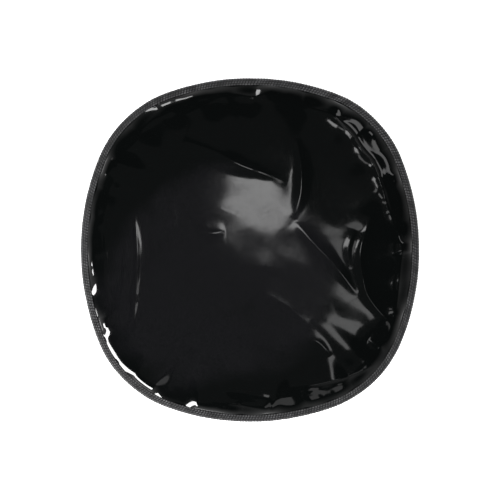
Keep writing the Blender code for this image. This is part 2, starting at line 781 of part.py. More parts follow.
def wire_ring(name, parent, location):
    """A rectangular ring of round wire in the YZ plane."""
    path = [Vector((0.0, y, z)) for y, z in ring_path()]
    sections = []
    for index, point in enumerate(path):
        along = (path[(index + 1) % len(path)] - path[index - 1]).normalized()
        across = along.cross(Vector((1.0, 0.0, 0.0)))
        sections.append(
            [
                point + Vector((1.0, 0.0, 0.0)) * a + across * b
                for a, b in circle(RING_WIRE_RADIUS, RING_SIDES)
            ]
        )
    return finished(name, loft(name, sections, ring=True), STEEL, parent, location)


def handle_sections():
    """Sections of a handle's webbing, down one leg, round the grip and up the other."""
    span = HANDLE_HALF_SPAN
    eye = RING_WIRE_RADIUS + SEAM_GAP + EYE_WALL
    top = -RING_DROP
    bend_z = top - HANDLE_LEG
    bend = HANDLE_BEND_RADIUS
    thin = HANDLE_THICKNESS / 2
    stops = [
        (-span, top + eye, 0.0, 0.55 * eye),
        (-span, top + 0.5 * eye, 0.0, eye),
        (-span, top - 0.5 * eye, 0.0, eye),
        (-span, top - 1.5 * eye, 0.0, thin),
    ]
    for step in range(HANDLE_BEND_STEPS + 1):
        turn = math.pi / 2 * step / HANDLE_BEND_STEPS
        y = -span + bend - bend * math.cos(turn)
        stops.append((y, bend_z - bend * math.sin(turn), turn, thin))
    stops += [(-y, z, math.pi - turn, half) for y, z, turn, half in reversed(stops)]
    sections = []
    for y, z, turn, half in stops:
        across = Vector((0.0, math.cos(turn), math.sin(turn))) * (HANDLE_WIDTH / 2)
        middle = Vector((0.0, y, z))
        out = Vector((half, 0.0, 0.0))
        outer = [middle + across + out, middle - across + out]
        sections.append(outer + [middle - across - out, middle + across - out])
    return sections


def build_handle(word, side, skin):
    """A grab handle on two rings, each held by a webbing loop on the wall."""
    anchor_angle = math.asin(HANDLE_HALF_SPAN / (SIDE_BOW_RADIUS - wall_inset(HANDLE_HEIGHT)))
    wall_x = place(anchor_angle, wall_inset(HANDLE_HEIGHT), HANDLE_HEIGHT).x
    axis_x = side * (wall_x + HANDLE_STAND_OFF)
    swing = pivot(f"handle_swing_{word}", (axis_x, 0.0, HANDLE_HEIGHT))
    turned = (0.0, 0.0, math.pi / 2)

    name = f"handle_{word}"
    handle = finished(name, loft(name, handle_sections()), WEBBING, swing)
    bore_radius = RING_WIRE_RADIUS + SEAM_GAP
    eye = bore_radius + EYE_WALL
    for end, where in ((-1, "front"), (1, "rear")):
        y = end * HANDLE_HALF_SPAN
        wire_ring(f"handle_ring_{word}_{where}", swing, (0.0, y, 0.0))
        label = f"handle_bore_{word}_{where}"
        mesh = prism(label, circle(bore_radius, EYE_SIDES), HANDLE_WIDTH)
        boolean(handle, guide(label, mesh, swing, (0.0, y, -RING_DROP), turned))

        name = f"handle_loop_{word}_{where}"
        slope = WALL_TAPER / (WALL_BREAK_Z - WALL_FOOT_Z)
        low = -eye
        high = PATCH_LENGTH
        buried = -PATCH_BURIED
        plate = [
            (PATCH_THICKNESS + SEAM_GAP + low * slope, low),
            (PATCH_THICKNESS + SEAM_GAP + high * slope, high),
            (buried + high * slope, high),
            (buried + low * slope, low),
        ]
        facing = anchor_angle * end * side
        outward = 0.0 if side > 0 else math.pi
        spot = place(outward + facing, wall_inset(HANDLE_HEIGHT), HANDLE_HEIGHT)
        quarter = (0.0, 0.0, outward + facing + math.pi / 2)
        flipped = [(-out, up) for out, up in plate]
        patch = finished(name, prism(name, flipped, HANDLE_WIDTH / 2), WEBBING, None, spot, quarter)
        lug = [(-eye * math.cos(t), eye * math.sin(t)) for t in [math.pi * (s / 8 - 0.5) for s in range(9)]]
        lug += [(HANDLE_STAND_OFF + LUG_BURIED, eye), (HANDLE_STAND_OFF + LUG_BURIED, -eye)]
        label = f"lug_{word}_{where}"
        square = (0.0, 0.0, outward + math.pi / 2)
        boolean(
            patch,
            guide(label, prism(label, lug, HANDLE_WIDTH / 2 - SEAM_GAP), swing, (0.0, y, 0.0), square),
            "UNION",
        )
        boolean(patch, skin)
        label = f"loop_bore_{word}_{where}"
        mesh = prism(label, circle(bore_radius, EYE_SIDES), HANDLE_WIDTH)
        boolean(patch, guide(label, mesh, swing, (0.0, y, 0.0), turned))


def build():
    """Build the whole bag."""
    for existing in list(bpy.data.objects):
        bpy.data.objects.remove(existing, do_unlink=True)
    hinge_y = on_facet(math.radians(90.0 - ZIP_END_ANGLE), COIL_INSET, ZIP_HEIGHT).y
    hinge = pivot("lid_hinge", (0.0, hinge_y, ZIP_HEIGHT))
    lining_top = build_base()
    cutters = []
    for word, side in (("left", -1), ("right", 1)):
        spot, turned = sleeve_place(side)
        sections = [
            [(x, y, along) for x, y in circle(SLEEVE_RADIUS, SLEEVE_STEPS)]
            for along in (-1.2 * SLEEVE_RADIUS, 0.8 * SLEEVE_RADIUS)
        ]
        name = f"sleeve_hole_{word}"
        cutters.append(guide(name, loft(name, sections), None, spot, turned))
    build_walls(lining_top, cutters)
    build_zip(hinge)
    build_lid(hinge)
    skin = envelope("wall_skin", SEAM_GAP)
    cover = envelope("wall_cover", SEAM_GAP + COLLAR_THICKNESS)
    for word, side in (("left", -1), ("right", 1)):
        build_sleeve(word, side, skin, cover)
        build_slider(word, side)
        build_handle(word, side, skin)


build()
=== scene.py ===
"""The looks of a free-standing film changing bag: film lid, edge tape, cloth drum, zip, sleeves and handles."""

import enum
import logging
import math
from dataclasses import dataclass, field

import bmesh
import bpy
import numpy as np
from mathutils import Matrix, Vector


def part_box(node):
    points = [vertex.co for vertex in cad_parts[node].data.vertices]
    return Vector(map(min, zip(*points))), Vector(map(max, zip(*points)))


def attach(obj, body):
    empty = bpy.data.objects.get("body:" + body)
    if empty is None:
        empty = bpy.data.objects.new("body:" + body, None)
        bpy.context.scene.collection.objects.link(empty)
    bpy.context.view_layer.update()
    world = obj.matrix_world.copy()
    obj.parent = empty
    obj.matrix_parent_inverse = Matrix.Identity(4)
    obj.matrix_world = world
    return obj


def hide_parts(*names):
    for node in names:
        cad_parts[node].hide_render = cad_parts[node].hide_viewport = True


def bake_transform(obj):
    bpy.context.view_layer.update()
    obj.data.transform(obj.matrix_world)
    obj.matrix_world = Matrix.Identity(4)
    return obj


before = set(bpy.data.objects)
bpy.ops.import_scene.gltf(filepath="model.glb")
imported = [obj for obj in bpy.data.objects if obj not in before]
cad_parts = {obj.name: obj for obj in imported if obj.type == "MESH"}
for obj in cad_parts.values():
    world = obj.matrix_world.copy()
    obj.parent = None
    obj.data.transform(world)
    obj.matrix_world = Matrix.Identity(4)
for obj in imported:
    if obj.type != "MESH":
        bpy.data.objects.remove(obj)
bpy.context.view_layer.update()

LOG = logging.getLogger("changing_bag")
MM = 0.001
TURN = 2 * math.pi
UV_NAME = "weave"
PAINTED_LIGHT_NAME = "painted_light"


# ---------------------------------------------------------------- outline and sizes


@dataclass
class Outline:
    """The bag's plan: a square with bowed sides and round corners.

    An inset is how far a line lies inside the outside of the lid's bound edge.
    """

    half_width: float
    half_depth: float
    bow: float = 0.275
    corner: float = 0.131
    front_arc: float = field(init=False)
    side_arc: float = field(init=False)
    corner_at: tuple[float, float] = field(init=False)

    def __post_init__(self) -> None:
        """Find where the bowed sides meet the round corners."""
        reach = self.bow - self.corner
        across = (self.bow - self.half_width) / reach
        along = (self.bow - self.half_depth) / reach
        self.side_arc = math.acos(math.hypot(across, along) / 2) - math.atan2(along, across)
        self.front_arc = math.asin(math.cos(self.side_arc) - across)
        self.corner_at = (reach * math.sin(self.front_arc), reach * math.sin(self.side_arc))
        fine = np.linspace(-math.pi, math.pi, 7201)
        x, y = self.at(fine, np.zeros_like(fine))
        steps = np.hypot(np.diff(x), np.diff(y))
        self._angles = fine
        self._lengths = np.concatenate([[0.0], np.cumsum(steps)])

    def at(self, angle: np.ndarray, inset: np.ndarray) -> tuple[np.ndarray, np.ndarray]:
        """Points of the outline by outward direction.

        Args:
            angle: outward directions in radians, 0 along +X.
            inset: how far inside the outline each point lies.

        Returns:
            The points' x and y.
        """
        c, s = np.cos(angle), np.sin(angle)
        turned = np.arctan2(np.abs(s), np.abs(c))
        side = turned <= self.side_arc
        front = turned >= math.pi / 2 - self.front_arc
        cx = np.where(side, self.half_width - self.bow, np.where(front, 0.0, self.corner_at[0]))
        cy = np.where(side, 0.0, np.where(front, self.half_depth - self.bow, self.corner_at[1]))
        radius = np.where(side | front, self.bow, self.corner)
        return np.sign(c) * cx + (radius - inset) * c, np.sign(s) * cy + (radius - inset) * s

    def inset_of(self, x: np.ndarray, y: np.ndarray) -> tuple[np.ndarray, np.ndarray]:
        """How far points lie inside the outline, and the outward direction there.

        Args:
            x: the points' x.
            y: the points' y.

        Returns:
            The insets and the outward directions in radians.
        """
        ax, ay = np.abs(x), np.abs(y)
        side_turn = np.arctan2(ay, ax - (self.half_width - self.bow))
        front_turn = np.arctan2(ax, ay - (self.half_depth - self.bow))
        side = side_turn <= self.side_arc
        front = (front_turn <= self.front_arc) & ~side
        cx = np.where(side, self.half_width - self.bow, np.where(front, 0.0, self.corner_at[0]))
        cy = np.where(side, 0.0, np.where(front, self.half_depth - self.bow, self.corner_at[1]))
        radius = np.where(side | front, self.bow, self.corner)
        dx, dy = ax - cx, ay - cy
        return radius - np.hypot(dx, dy), np.arctan2(np.sign(y) * dy, np.sign(x) * dx)

    def run(self, angle: np.ndarray) -> np.ndarray:
        """Length along the outline up to an outward direction.

        Args:
            angle: outward directions in radians.

        Returns:
            The lengths, which go on rising past a whole turn.
        """
        turns = np.floor((angle + math.pi) / TURN)
        return np.interp(angle - TURN * turns, self._angles, self._lengths) + self.girth * turns

    def around(self, angle: np.ndarray) -> tuple[np.ndarray, np.ndarray]:
        """Places on a circle as long as the outline, for patterns that must join up once round.

        Args:
            angle: outward directions in radians.

        Returns:
            The places' two coordinates.
        """
        phase = TURN * self.run(angle) / self.girth
        return self.girth / TURN * np.cos(phase), self.girth / TURN * np.sin(phase)

    @property
    def girth(self) -> float:
        """The outline's whole length."""
        return float(self._lengths[-1])

    def even(self, count: int, start: float = -180.0, end: float = 180.0) -> np.ndarray:
        """Outward directions a like distance apart, from one direction in degrees to another.

        Args:
            count: how many.
            start: the first direction.
            end: the last direction.

        Returns:
            The directions in radians.
        """
        whole = end - start >= 360.0
        a, b = math.radians(start), math.radians(end)
        fine = np.linspace(a, b, 4001)
        x, y = self.at(fine, np.zeros_like(fine))
        length = np.concatenate([[0.0], np.cumsum(np.hypot(np.diff(x), np.diff(y)))])
        wanted = np.linspace(0.0, length[-1], count + 1 if whole else count)
        return np.interp(wanted[:count], length, fine)

    def sweep(self, angle: np.ndarray, inset: np.ndarray, height: np.ndarray) -> np.ndarray:
        """Rows of points: one for each direction, and in it one for each (inset, height).

        Args:
            angle: outward directions in radians.
            inset: the profile's insets, alike for all directions or a row for each.
            height: the profile's heights, in the same way.

        Returns:
            A (directions, places, 3) grid.
        """
        inset, height = np.broadcast_arrays(np.atleast_2d(inset), np.atleast_2d(height))
        shape = (len(angle), inset.shape[1])
        inset = np.broadcast_to(inset, shape)
        height = np.broadcast_to(height, shape)
        x, y = self.at(np.broadcast_to(angle[:, None], shape), inset)
        return np.stack([x, y, height], axis=2)


def middle_of(node: str) -> Vector:
    """The middle of a frame node's box."""
    low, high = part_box(node)
    return (low + high) / 2


LID_LOW, LID_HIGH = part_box("lid_binding")
OUTLINE = Outline(LID_HIGH.x, LID_HIGH.y)
ZIP_Z = (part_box("zip_coil_lower")[1].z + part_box("zip_coil_upper")[0].z) / 2
LID_EDGE_Z = (LID_LOW.z + LID_HIGH.z) / 2
BASE_EDGE_Z = middle_of("base_binding").z
WALL_TOP_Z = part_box("wall_front")[1].z
WALL_INSET = LID_HIGH.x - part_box("wall_front")[1].x
TAPE_INSET = LID_HIGH.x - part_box("zip_tape_lower")[1].x
BASE_INSET = LID_HIGH.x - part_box("base_binding")[1].x
WALL_BREAK_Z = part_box("zip_tape_lower")[0].z - 0.3 * MM
WALL_FOOT_Z = BASE_EDGE_Z + 1.2 * MM
FOLD = 8.4 * MM
WALL_TAPER = BASE_INSET + FOLD - WALL_INSET + 1.0 * MM
STAYS = ("stay_front", "stay_side_left", "stay_side_right", "stay_rear_left", "stay_rear_right")


def wall_inset(height: np.ndarray | float) -> np.ndarray | float:
    """Inset of the wall's outer face: upright behind the zip, tapering in below it."""
    return WALL_INSET + WALL_TAPER * np.maximum(0.0, WALL_BREAK_Z - height) / (WALL_BREAK_Z - WALL_FOOT_Z)


# ---------------------------------------------------------------- small tools


@dataclass
class Ripple:
    """A smooth, repeatable wander of values between about -1 and 1 over a plane."""

    seed: int
    longest: float
    shortest: float
    waves: int = 24

    def __post_init__(self) -> None:
        """Draw the waves."""
        rng = np.random.default_rng(self.seed)
        length = self.longest * (self.shortest / self.longest) ** rng.random(self.waves)
        turn = rng.random(self.waves) * TURN
        self._kx = TURN / length * np.cos(turn)
        self._ky = TURN / length * np.sin(turn)
        self._phase = rng.random(self.waves) * TURN
        self._weight = np.sqrt(length / self.longest)
        self._weight = self._weight / math.sqrt(float((self._weight**2).sum()) / 2) / 1.6

    def __call__(self, u: np.ndarray, v: np.ndarray) -> np.ndarray:
        """The value at each point.

        Args:
            u: first coordinates, in metres.
            v: second coordinates.

        Returns:
            The values.
        """
        total = np.zeros(np.broadcast(u, v).shape)
        for kx, ky, phase, weight in zip(self._kx, self._ky, self._phase, self._weight):
            total += weight * np.sin(kx * u + ky * v + phase)
        return total

    def band(self, angle: np.ndarray, along: np.ndarray | float = 0.0) -> np.ndarray:
        """The value round the outline, joined up once round, and along a band's width."""
        u, v = OUTLINE.around(angle)
        return self(u + 0.7 * along, v - 0.7 * along)

    def ring(self, turn: np.ndarray, radius: float, along: np.ndarray | float = 0.0) -> np.ndarray:
        """The value round a ring of a radius, joined up once round, and along its axis."""
        return self(radius * np.cos(turn) + 0.7 * along, radius * np.sin(turn) - 0.7 * along)

    @staticmethod
    def creased(value: np.ndarray) -> np.ndarray:
        """A creased version of values, with sharp ridges between soft hollows, from about 0 to 1."""
        return 1.0 - np.sqrt(value**2 + 0.02)


def paired(u: np.ndarray, v: np.ndarray) -> np.ndarray:
    """Two grids of values as one grid of pairs."""
    return np.stack(np.broadcast_arrays(u, v), axis=2)


def outward(angle: np.ndarray) -> np.ndarray:
    """Level directions, one row for each outward direction in radians."""
    return np.stack([np.cos(angle), np.sin(angle), np.zeros_like(angle)], axis=1)


def smooth(low: float, high: float, value: np.ndarray) -> np.ndarray:
    """0 below low, 1 above high, and an S curve between."""
    t = np.clip((value - low) / (high - low), 0.0, 1.0)
    return t * t * (3 - 2 * t)


def mesh_piece(name: str, points: np.ndarray, faces: np.ndarray, uv: np.ndarray | None = None,
               painted_light: np.ndarray | None = None) -> bpy.types.Object:
    """An object from points and four-cornered faces.

    Args:
        name: the piece's name.
        points: (n, 3) places in the row frame.
        faces: (m, 4) corner numbers.
        uv: (n, 2) cloth coordinates in metres, if the finish needs them.
        painted_light: (n,) painted light and shade values that the finish reads, if it needs them.

    Returns:
        The new object, smooth shaded.
    """
    mesh = bpy.data.meshes.new(name)
    mesh.from_pydata(points.tolist(), [], faces.tolist())
    mesh.shade_smooth()
    if uv is not None:
        layer = mesh.uv_layers.new(name=UV_NAME)
        corners = np.zeros(len(mesh.loops), np.int64)
        mesh.loops.foreach_get("vertex_index", corners)
        layer.data.foreach_set("uv", uv[corners].astype(np.float32).ravel())
    if painted_light is not None:
        layer = mesh.attributes.new(PAINTED_LIGHT_NAME, "FLOAT", "POINT")
        layer.data.foreach_set("value", painted_light.astype(np.float32))
    piece = bpy.data.objects.new(name, mesh)
    bpy.context.scene.collection.objects.link(piece)
    return piece


def lattice_faces(rows: int, columns: int, wrap_rows: bool, wrap_columns: bool) -> np.ndarray:
    """Faces of a grid of points, rows by columns, that may close on itself either way.

    Args:
        rows: how many rows.
        columns: how many columns.
        wrap_rows: whether the last row joins the first.
        wrap_columns: whether the last column joins the first.

    Returns:
        (n, 4) corner numbers.
    """
    r = np.arange(rows if wrap_rows else rows - 1)
    c = np.arange(columns if wrap_columns else columns - 1)
    r, c = np.meshgrid(r, c, indexing="ij")
    r2, c2 = (r + 1) % rows, (c + 1) % columns
    quads = np.stack([r * columns + c, r2 * columns + c, r2 * columns + c2, r * columns + c2], axis=-1)
    return quads.reshape(-1, 4)


def lattice(name: str, rows: np.ndarray, wrap_rows: bool = False, wrap_columns: bool = False,
            uv: np.ndarray | None = None, painted_light: np.ndarray | None = None, flip: bool = False) -> bpy.types.Object:
    """A surface through a (rows, columns, 3) grid of points.

    Args:
        name: the piece's name.
        rows: the grid.
        wrap_rows: whether the last row joins the first.
        wrap_columns: whether the last column joins the first.
        uv: cloth coordinates, if the finish needs them.
        painted_light: painted light and shade values that the finish reads, if it needs them.
        flip: whether the faces look the other way.

    Returns:
        The new object.
    """
    faces = lattice_faces(rows.shape[0], rows.shape[1], wrap_rows, wrap_columns)
    if flip:
        faces = faces[:, ::-1]
    flat_uv = None if uv is None else uv.reshape(-1, 2)
    flat_painted_light = None if painted_light is None else painted_light.reshape(-1)
    return mesh_piece(name, rows.reshape(-1, 3), faces, flat_uv, flat_painted_light)


def thicken(piece: bpy.types.Object, thickness: float, offset: float = -1.0) -> None:
    """Give a sheet its thickness, inward by default.

    Args:
        piece: the object.
        thickness: the sheet's thickness.
        offset: -1 inward, 1 outward.
    """
    solid = piece.modifiers.new("thickness", "SOLIDIFY")
    solid.thickness = thickness
    solid.offset = offset
    solid.use_rim = True


def soften(piece: bpy.types.Object, width: float) -> None:
    """Round a piece's sharp edges.

    Args:
        piece: the object.
        width: the rounding's width.
    """
    bevel = piece.modifiers.new("edges", "BEVEL")
    bevel.width = width
    bevel.segments = 3
    bevel.limit_method = "ANGLE"
    bevel.angle_limit = math.radians(30)
    bevel.harden_normals = False


def stitch_row(name: str, path: np.ndarray, outward: np.ndarray, length: float = 2.6 * MM,
               thick: float = 0.42 * MM) -> bpy.types.Object:
    """Stitches of thread: one rounded grain for each point of a path.

    Args:
        name: the piece's name.
        path: (n, 3) middles of the stitches.
        outward: (n, 3) directions off the cloth.
        length: a stitch's length.
        thick: the thread's thickness.

    Returns:
        One object that holds the row.
    """
    ahead = np.roll(path, -1, axis=0) - np.roll(path, 1, axis=0)
    ahead[0], ahead[-1] = path[1] - path[0], path[-1] - path[-2]
    ahead /= np.linalg.norm(ahead, axis=1)[:, None]
    up = outward / np.linalg.norm(outward, axis=1)[:, None]
    across = np.cross(ahead, up)
    along = np.array([-0.5, -0.36, 0.0, 0.36, 0.5]) * length
    fat = np.array([0.15, 0.8, 1.0, 0.8, 0.15]) * thick / 2
    lift = np.array([-0.5, 0.15, 0.45, 0.15, -0.5]) * thick
    ring = np.linspace(0, TURN, 6, endpoint=False)
    count = len(path)
    points = (
        path[:, None, None, :]
        + ahead[:, None, None, :] * along[None, :, None, None]
        + up[:, None, None, :]
        * (lift[None, :, None, None] + fat[None, :, None, None] * np.sin(ring)[None, None, :, None])
        + across[:, None, None, :] * (fat[None, :, None, None] * np.cos(ring)[None, None, :, None])
    )
    one = lattice_faces(len(along), len(ring), False, True)
    faces = (one[None, :, :] + (np.arange(count) * len(along) * len(ring))[:, None, None]).reshape(-1, 4)
    return mesh_piece(name, points.reshape(-1, 3), faces)


# ---------------------------------------------------------------- finishes


class Tree:
    """A short way to write a material's nodes."""

    def __init__(self, name: str) -> None:
        """Start a material with its shader and output.

        Args:
            name: the material's name.
        """
        self.material = bpy.data.materials.new(name)
        self.material.use_nodes = True
        self.nodes = self.material.node_tree.nodes
        self.links = self.material.node_tree.links
        self.shader = self.nodes["Principled BSDF"]

    def add(self, kind: str, settings: dict | None = None, **inputs: object) -> bpy.types.Node:
        """Add a node, set its settings, and set or link its inputs by name (spaces as underscores).

        Args:
            kind: the node's type.
            settings: its own properties.
            **inputs: values or sockets.

        Returns:
            The node.
        """
        node = self.nodes.new(kind)
        for key, value in (settings or {}).items():
            setattr(node, key, value)
        for key, value in inputs.items():
            self.put(node, key.replace("_", " "), value)
        return node

    def put(self, node: bpy.types.Node, socket: str | int, value: object) -> None:
        """Set or link one input.

        Args:
            node: the node.
            socket: the input's name or number.
            value: a value or a socket.
        """
        target = node.inputs[socket]
        if isinstance(value, bpy.types.NodeSocket):
            self.links.new(value, target)
        else:
            target.default_value = value

    def maths(self, operation: str, a: object, b: object = 0.0, clamp: bool = False) -> bpy.types.NodeSocket:
        """A sum of two values or sockets.

        Args:
            operation: which sum.
            a: first value.
            b: second value.
            clamp: whether the result stays from 0 to 1.

        Returns:
            The result.
        """
        node = self.nodes.new("ShaderNodeMath")
        node.operation = operation
        node.use_clamp = clamp
        self.put(node, 0, a)
        self.put(node, 1, b)
        return node.outputs[0]

    def ramp(self, value: bpy.types.NodeSocket, low: float, high: float, start: float = 0.0,
             end: float = 1.0) -> bpy.types.NodeSocket:
        """A smooth step of a value from start to end.

        Args:
            value: the value.
            low: where the step begins.
            high: where it ends.
            start: the result up to low.
            end: the result from high.

        Returns:
            The result.
        """
        node = self.nodes.new("ShaderNodeMapRange")
        node.interpolation_type = "SMOOTHSTEP"
        self.put(node, 0, value)
        for index, number in enumerate((low, high, start, end), 1):
            node.inputs[index].default_value = number
        return node.outputs[0]

    def blend(self, share: object, a: tuple, b: tuple) -> bpy.types.NodeSocket:
        """A colour between two, by a share.

        Args:
            share: 0 for the first, 1 for the second.
            a: first colour.
            b: second colour.

        Returns:
            The colour.
        """
        node = self.nodes.new("ShaderNodeMix")
        node.data_type = "RGBA"
        self.put(node, 0, share)
        node.inputs[6].default_value = (*a, 1.0)
        node.inputs[7].default_value = (*b, 1.0)
        return node.outputs[2]

    def place(self) -> bpy.types.NodeSocket:
        """The point's own coordinates, in metres."""
        return self.nodes.new("ShaderNodeTexCoord").outputs["Object"]

    def cloth(self) -> bpy.types.NodeSocket:
        """The cloth's coordinates, in metres along and across it."""
        node = self.nodes.new("ShaderNodeUVMap")
        node.uv_map = UV_NAME
        return node.outputs[0]

    def noise(self, where: bpy.types.NodeSocket, size: float, detail: float = 2.0, rough: float = 0.5,
              twist: float = 0.0) -> bpy.types.NodeSocket:
        """Cloudy noise with blotches of about a size in metres.

        Args:
            where: coordinates.
            size: size of a blotch.
            detail: how many finer layers.
            rough: how strong those are.
            twist: how far it is distorted.

        Returns:
            The noise, from 0 to 1.
        """
        node = self.add("ShaderNodeTexNoise", Vector=where, Scale=1.0 / size, Detail=detail, Roughness=rough,
                        Distortion=twist)
        return node.outputs[0]

    def bump(self, height: bpy.types.NodeSocket, distance: float, strength: float = 1.0,
             after: bpy.types.NodeSocket | None = None) -> bpy.types.NodeSocket:
        """A relief of a height in metres, on top of an earlier one.

        Args:
            height: the relief.
            distance: its height where it is 1.
            strength: its share.
            after: the earlier relief.

        Returns:
            The normal.
        """
        node = self.add("ShaderNodeBump", Height=height, Distance=distance, Strength=strength)
        if after is not None:
            self.links.new(after, node.inputs["Normal"])
        return node.outputs[0]

    def dress(self, **sockets: object) -> None:
        """Set or link the shader's inputs by name (spaces as underscores)."""
        for key, value in sockets.items():
            self.put(self.shader, key.replace("_", " "), value)


@dataclass(frozen=True)
class GlossFilm:
    """Thin glossy coated film, lighter in a broad patch about the middle as painted reflection of the room mixed with
    random haze, with fine dust and faint rub marks.
    """

    deep: tuple = (0.0006, 0.0008, 0.0008)
    # lighter colour: painted reflection of the room on the flat middle of the face, mixed with random haze
    haze_and_painted_reflection: tuple = (0.0026, 0.0026, 0.0030)

    def build(self) -> bpy.types.Material:
        """Make the material."""
        t = Tree("gloss_film")
        where = t.place()
        cloud = t.noise(where, 0.085, 3.0, 0.55, 0.4)
        # painted reflection: the colour is lighter in a broad patch about the middle of the face, with random haze
        # blotches mixed in; the same mask also raises the roughness
        centre = t.add("ShaderNodeVectorMath", {"operation": "DISTANCE"})
        t.put(centre, 0, where)
        centre.inputs[1].default_value = (-0.030, -0.030, LID_EDGE_Z)
        inner = t.ramp(centre.outputs["Value"], 0.085, 0.165, 1.0, 0.0)
        patchy = t.maths("ADD", t.maths("MULTIPLY", inner, 0.42), t.maths("MULTIPLY", cloud, 0.75))
        haze_and_reflection_mask = t.ramp(patchy, 0.48, 0.80)
        grain = t.noise(where, 0.0011, 3.0, 0.7)
        speck = t.ramp(grain, 0.36, 0.68, 0.3, 1.6)
        share = t.maths("MULTIPLY", haze_and_reflection_mask, speck, True)
        t.dress(Base_Color=t.blend(share, self.deep, self.haze_and_painted_reflection))
        rub = t.noise(where, 0.012, 3.0, 0.6, 1.5)
        rough = t.maths("ADD", t.maths("MULTIPLY", haze_and_reflection_mask, 0.025), t.ramp(rub, 0.35, 0.75, 0.055, 0.085))
        t.dress(Roughness=rough)
        lumps = t.bump(t.noise(where, 0.016, 2.0, 0.5), 0.000016, 0.5)
        t.dress(Normal=t.bump(grain, 0.000002, 0.4, lumps), IOR=1.5)
        return t.material


@dataclass(frozen=True)
class Yarn:
    """Woven yarn that shows its crowns: the relief is in the mesh, and values on the mesh paint a highlight on the
    crowns and shade in the gaps.
    """

    name: str
    # gap and crown colours: painted shade in the gaps between yarns and painted highlight on their crowns
    painted_gap_shade: tuple = (0.0006, 0.0006, 0.0007)
    crown: tuple = (0.046, 0.046, 0.048)
    fibre: float = 0.00022

    def build(self) -> bpy.types.Material:
        """Make the material."""
        t = Tree(self.name)
        painted_light = t.add("ShaderNodeAttribute", {"attribute_name": PAINTED_LIGHT_NAME}).outputs["Fac"]
        where = t.place()
        blotch = t.noise(where, 0.009, 2.0)
        painted_light_share = t.maths("POWER", painted_light, 1.5)
        share = t.maths("MULTIPLY", painted_light_share, t.ramp(blotch, 0.25, 0.75, 0.55, 1.25), True)
        # painted light: the crowns are painted lighter and the gaps darker from the mesh's weave heights, with random
        # blotches
        t.dress(Base_Color=t.blend(share, self.painted_gap_shade, self.crown))
        strand = t.noise(where, self.fibre, 2.0, 0.7)
        t.dress(Roughness=t.ramp(strand, 0.3, 0.7, 0.42, 0.66))
        t.dress(Normal=t.bump(strand, 0.00012, 0.6), Specular_IOR_Level=0.3)
        return t.material


class Weave(enum.Enum):
    """How a cloth is woven."""

    PLAIN = "plain"
    RIB = "rib"


@dataclass(frozen=True)
class Cloth:
    """Woven cloth: threads crossing at a pitch, painted lighter on the threads and darker between them as painted
    highlight and shade, faint blotches, and wear where it is rubbed.
    """

    name: str
    colour: tuple
    weave: Weave = Weave.PLAIN
    pitch: float = 0.00085
    depth: float = 0.00012
    rough: float = 0.62
    sheen: float = 0.25
    # lift: how much lighter the threads are painted than the cloth's colour, a painted highlight
    lift: float = 1.9

    def threads(self, t: Tree, where: bpy.types.NodeSocket) -> bpy.types.NodeSocket:
        """The weave's relief, from 0 in its gaps to 1 on its threads.

        Args:
            t: the material's tree.
            where: cloth coordinates.

        Returns:
            The relief.
        """
        split = t.add("ShaderNodeSeparateXYZ", Vector=where)
        along, across = split.outputs[0], split.outputs[1]
        fine = TURN / self.pitch
        if self.weave is Weave.RIB:
            rib = t.maths("SINE", t.maths("MULTIPLY", along, fine / 2.2))
            twist = t.maths("SINE", t.maths("MULTIPLY", t.maths("ADD", along, across), fine))
            return t.maths("ADD", t.maths("MULTIPLY", rib, 0.36), t.maths("ADD", t.maths("MULTIPLY", twist, 0.14), 0.5))
        warp = t.maths("SINE", t.maths("MULTIPLY", along, fine / 2))
        weft = t.maths("SINE", t.maths("MULTIPLY", across, fine / 2))
        return t.maths("ADD", t.maths("MULTIPLY", t.maths("MULTIPLY", warp, weft), 0.5), 0.5)

    def build(self) -> bpy.types.Material:
        """Make the material."""
        t = Tree(self.name)
        where = t.place()
        relief = self.threads(t, t.cloth())
        blotch = t.noise(where, 0.03, 3.0, 0.6)
        slub = t.noise(where, 0.0016, 2.0, 0.6)
        # painted light: the threads are painted lighter and the gaps between them darker from the weave's relief, mixed
        # with random slubs and blotches
        shade = t.maths("ADD", t.maths("MULTIPLY", relief, 0.5), t.maths("MULTIPLY", slub, 0.35))
        share = t.maths("ADD", shade, t.maths("MULTIPLY", blotch, 0.35), True)
        dark = tuple(0.45 * c for c in self.colour)
        light = tuple(self.lift * c for c in self.colour)
        t.dress(Base_Color=t.blend(share, dark, light), Sheen_Weight=0.35 * self.sheen, Sheen_Roughness=0.45)
        t.dress(Specular_IOR_Level=0.16)
        t.dress(Roughness=t.ramp(blotch, 0.3, 0.7, self.rough - 0.08, min(0.97, self.rough + 0.1)))
        soft = t.bump(t.noise(where, 0.007, 2.0), 0.0003, 0.35)
        t.dress(Normal=t.bump(relief, self.depth, 0.8, soft))
        return t.material


@dataclass(frozen=True)
class Plain:
    """A moulded, drawn or cast finish, with a fine grain and small changes of gloss."""

    name: str
    colour: tuple
    rough: float = 0.4
    metal: float = 0.0
    grain: float = 0.0008
    depth: float = 0.00003
    stretch: tuple = (1.0, 1.0, 1.0)

    def build(self) -> bpy.types.Material:
        """Make the material."""
        t = Tree(self.name)
        mapping = t.add("ShaderNodeMapping", Vector=t.place(), Scale=self.stretch)
        where = mapping.outputs[0]
        grain = t.noise(where, self.grain, 3.0, 0.6)
        blotch = t.noise(where, 0.015, 2.0)
        dark = tuple(0.72 * c for c in self.colour)
        light = tuple(1.25 * c for c in self.colour)
        t.dress(Base_Color=t.blend(blotch, dark, light), Metallic=self.metal)
        t.dress(Roughness=t.ramp(grain, 0.3, 0.7, 0.75 * self.rough, min(1.0, 1.25 * self.rough)))
        t.dress(Normal=t.bump(grain, self.depth, 0.6))
        return t.material


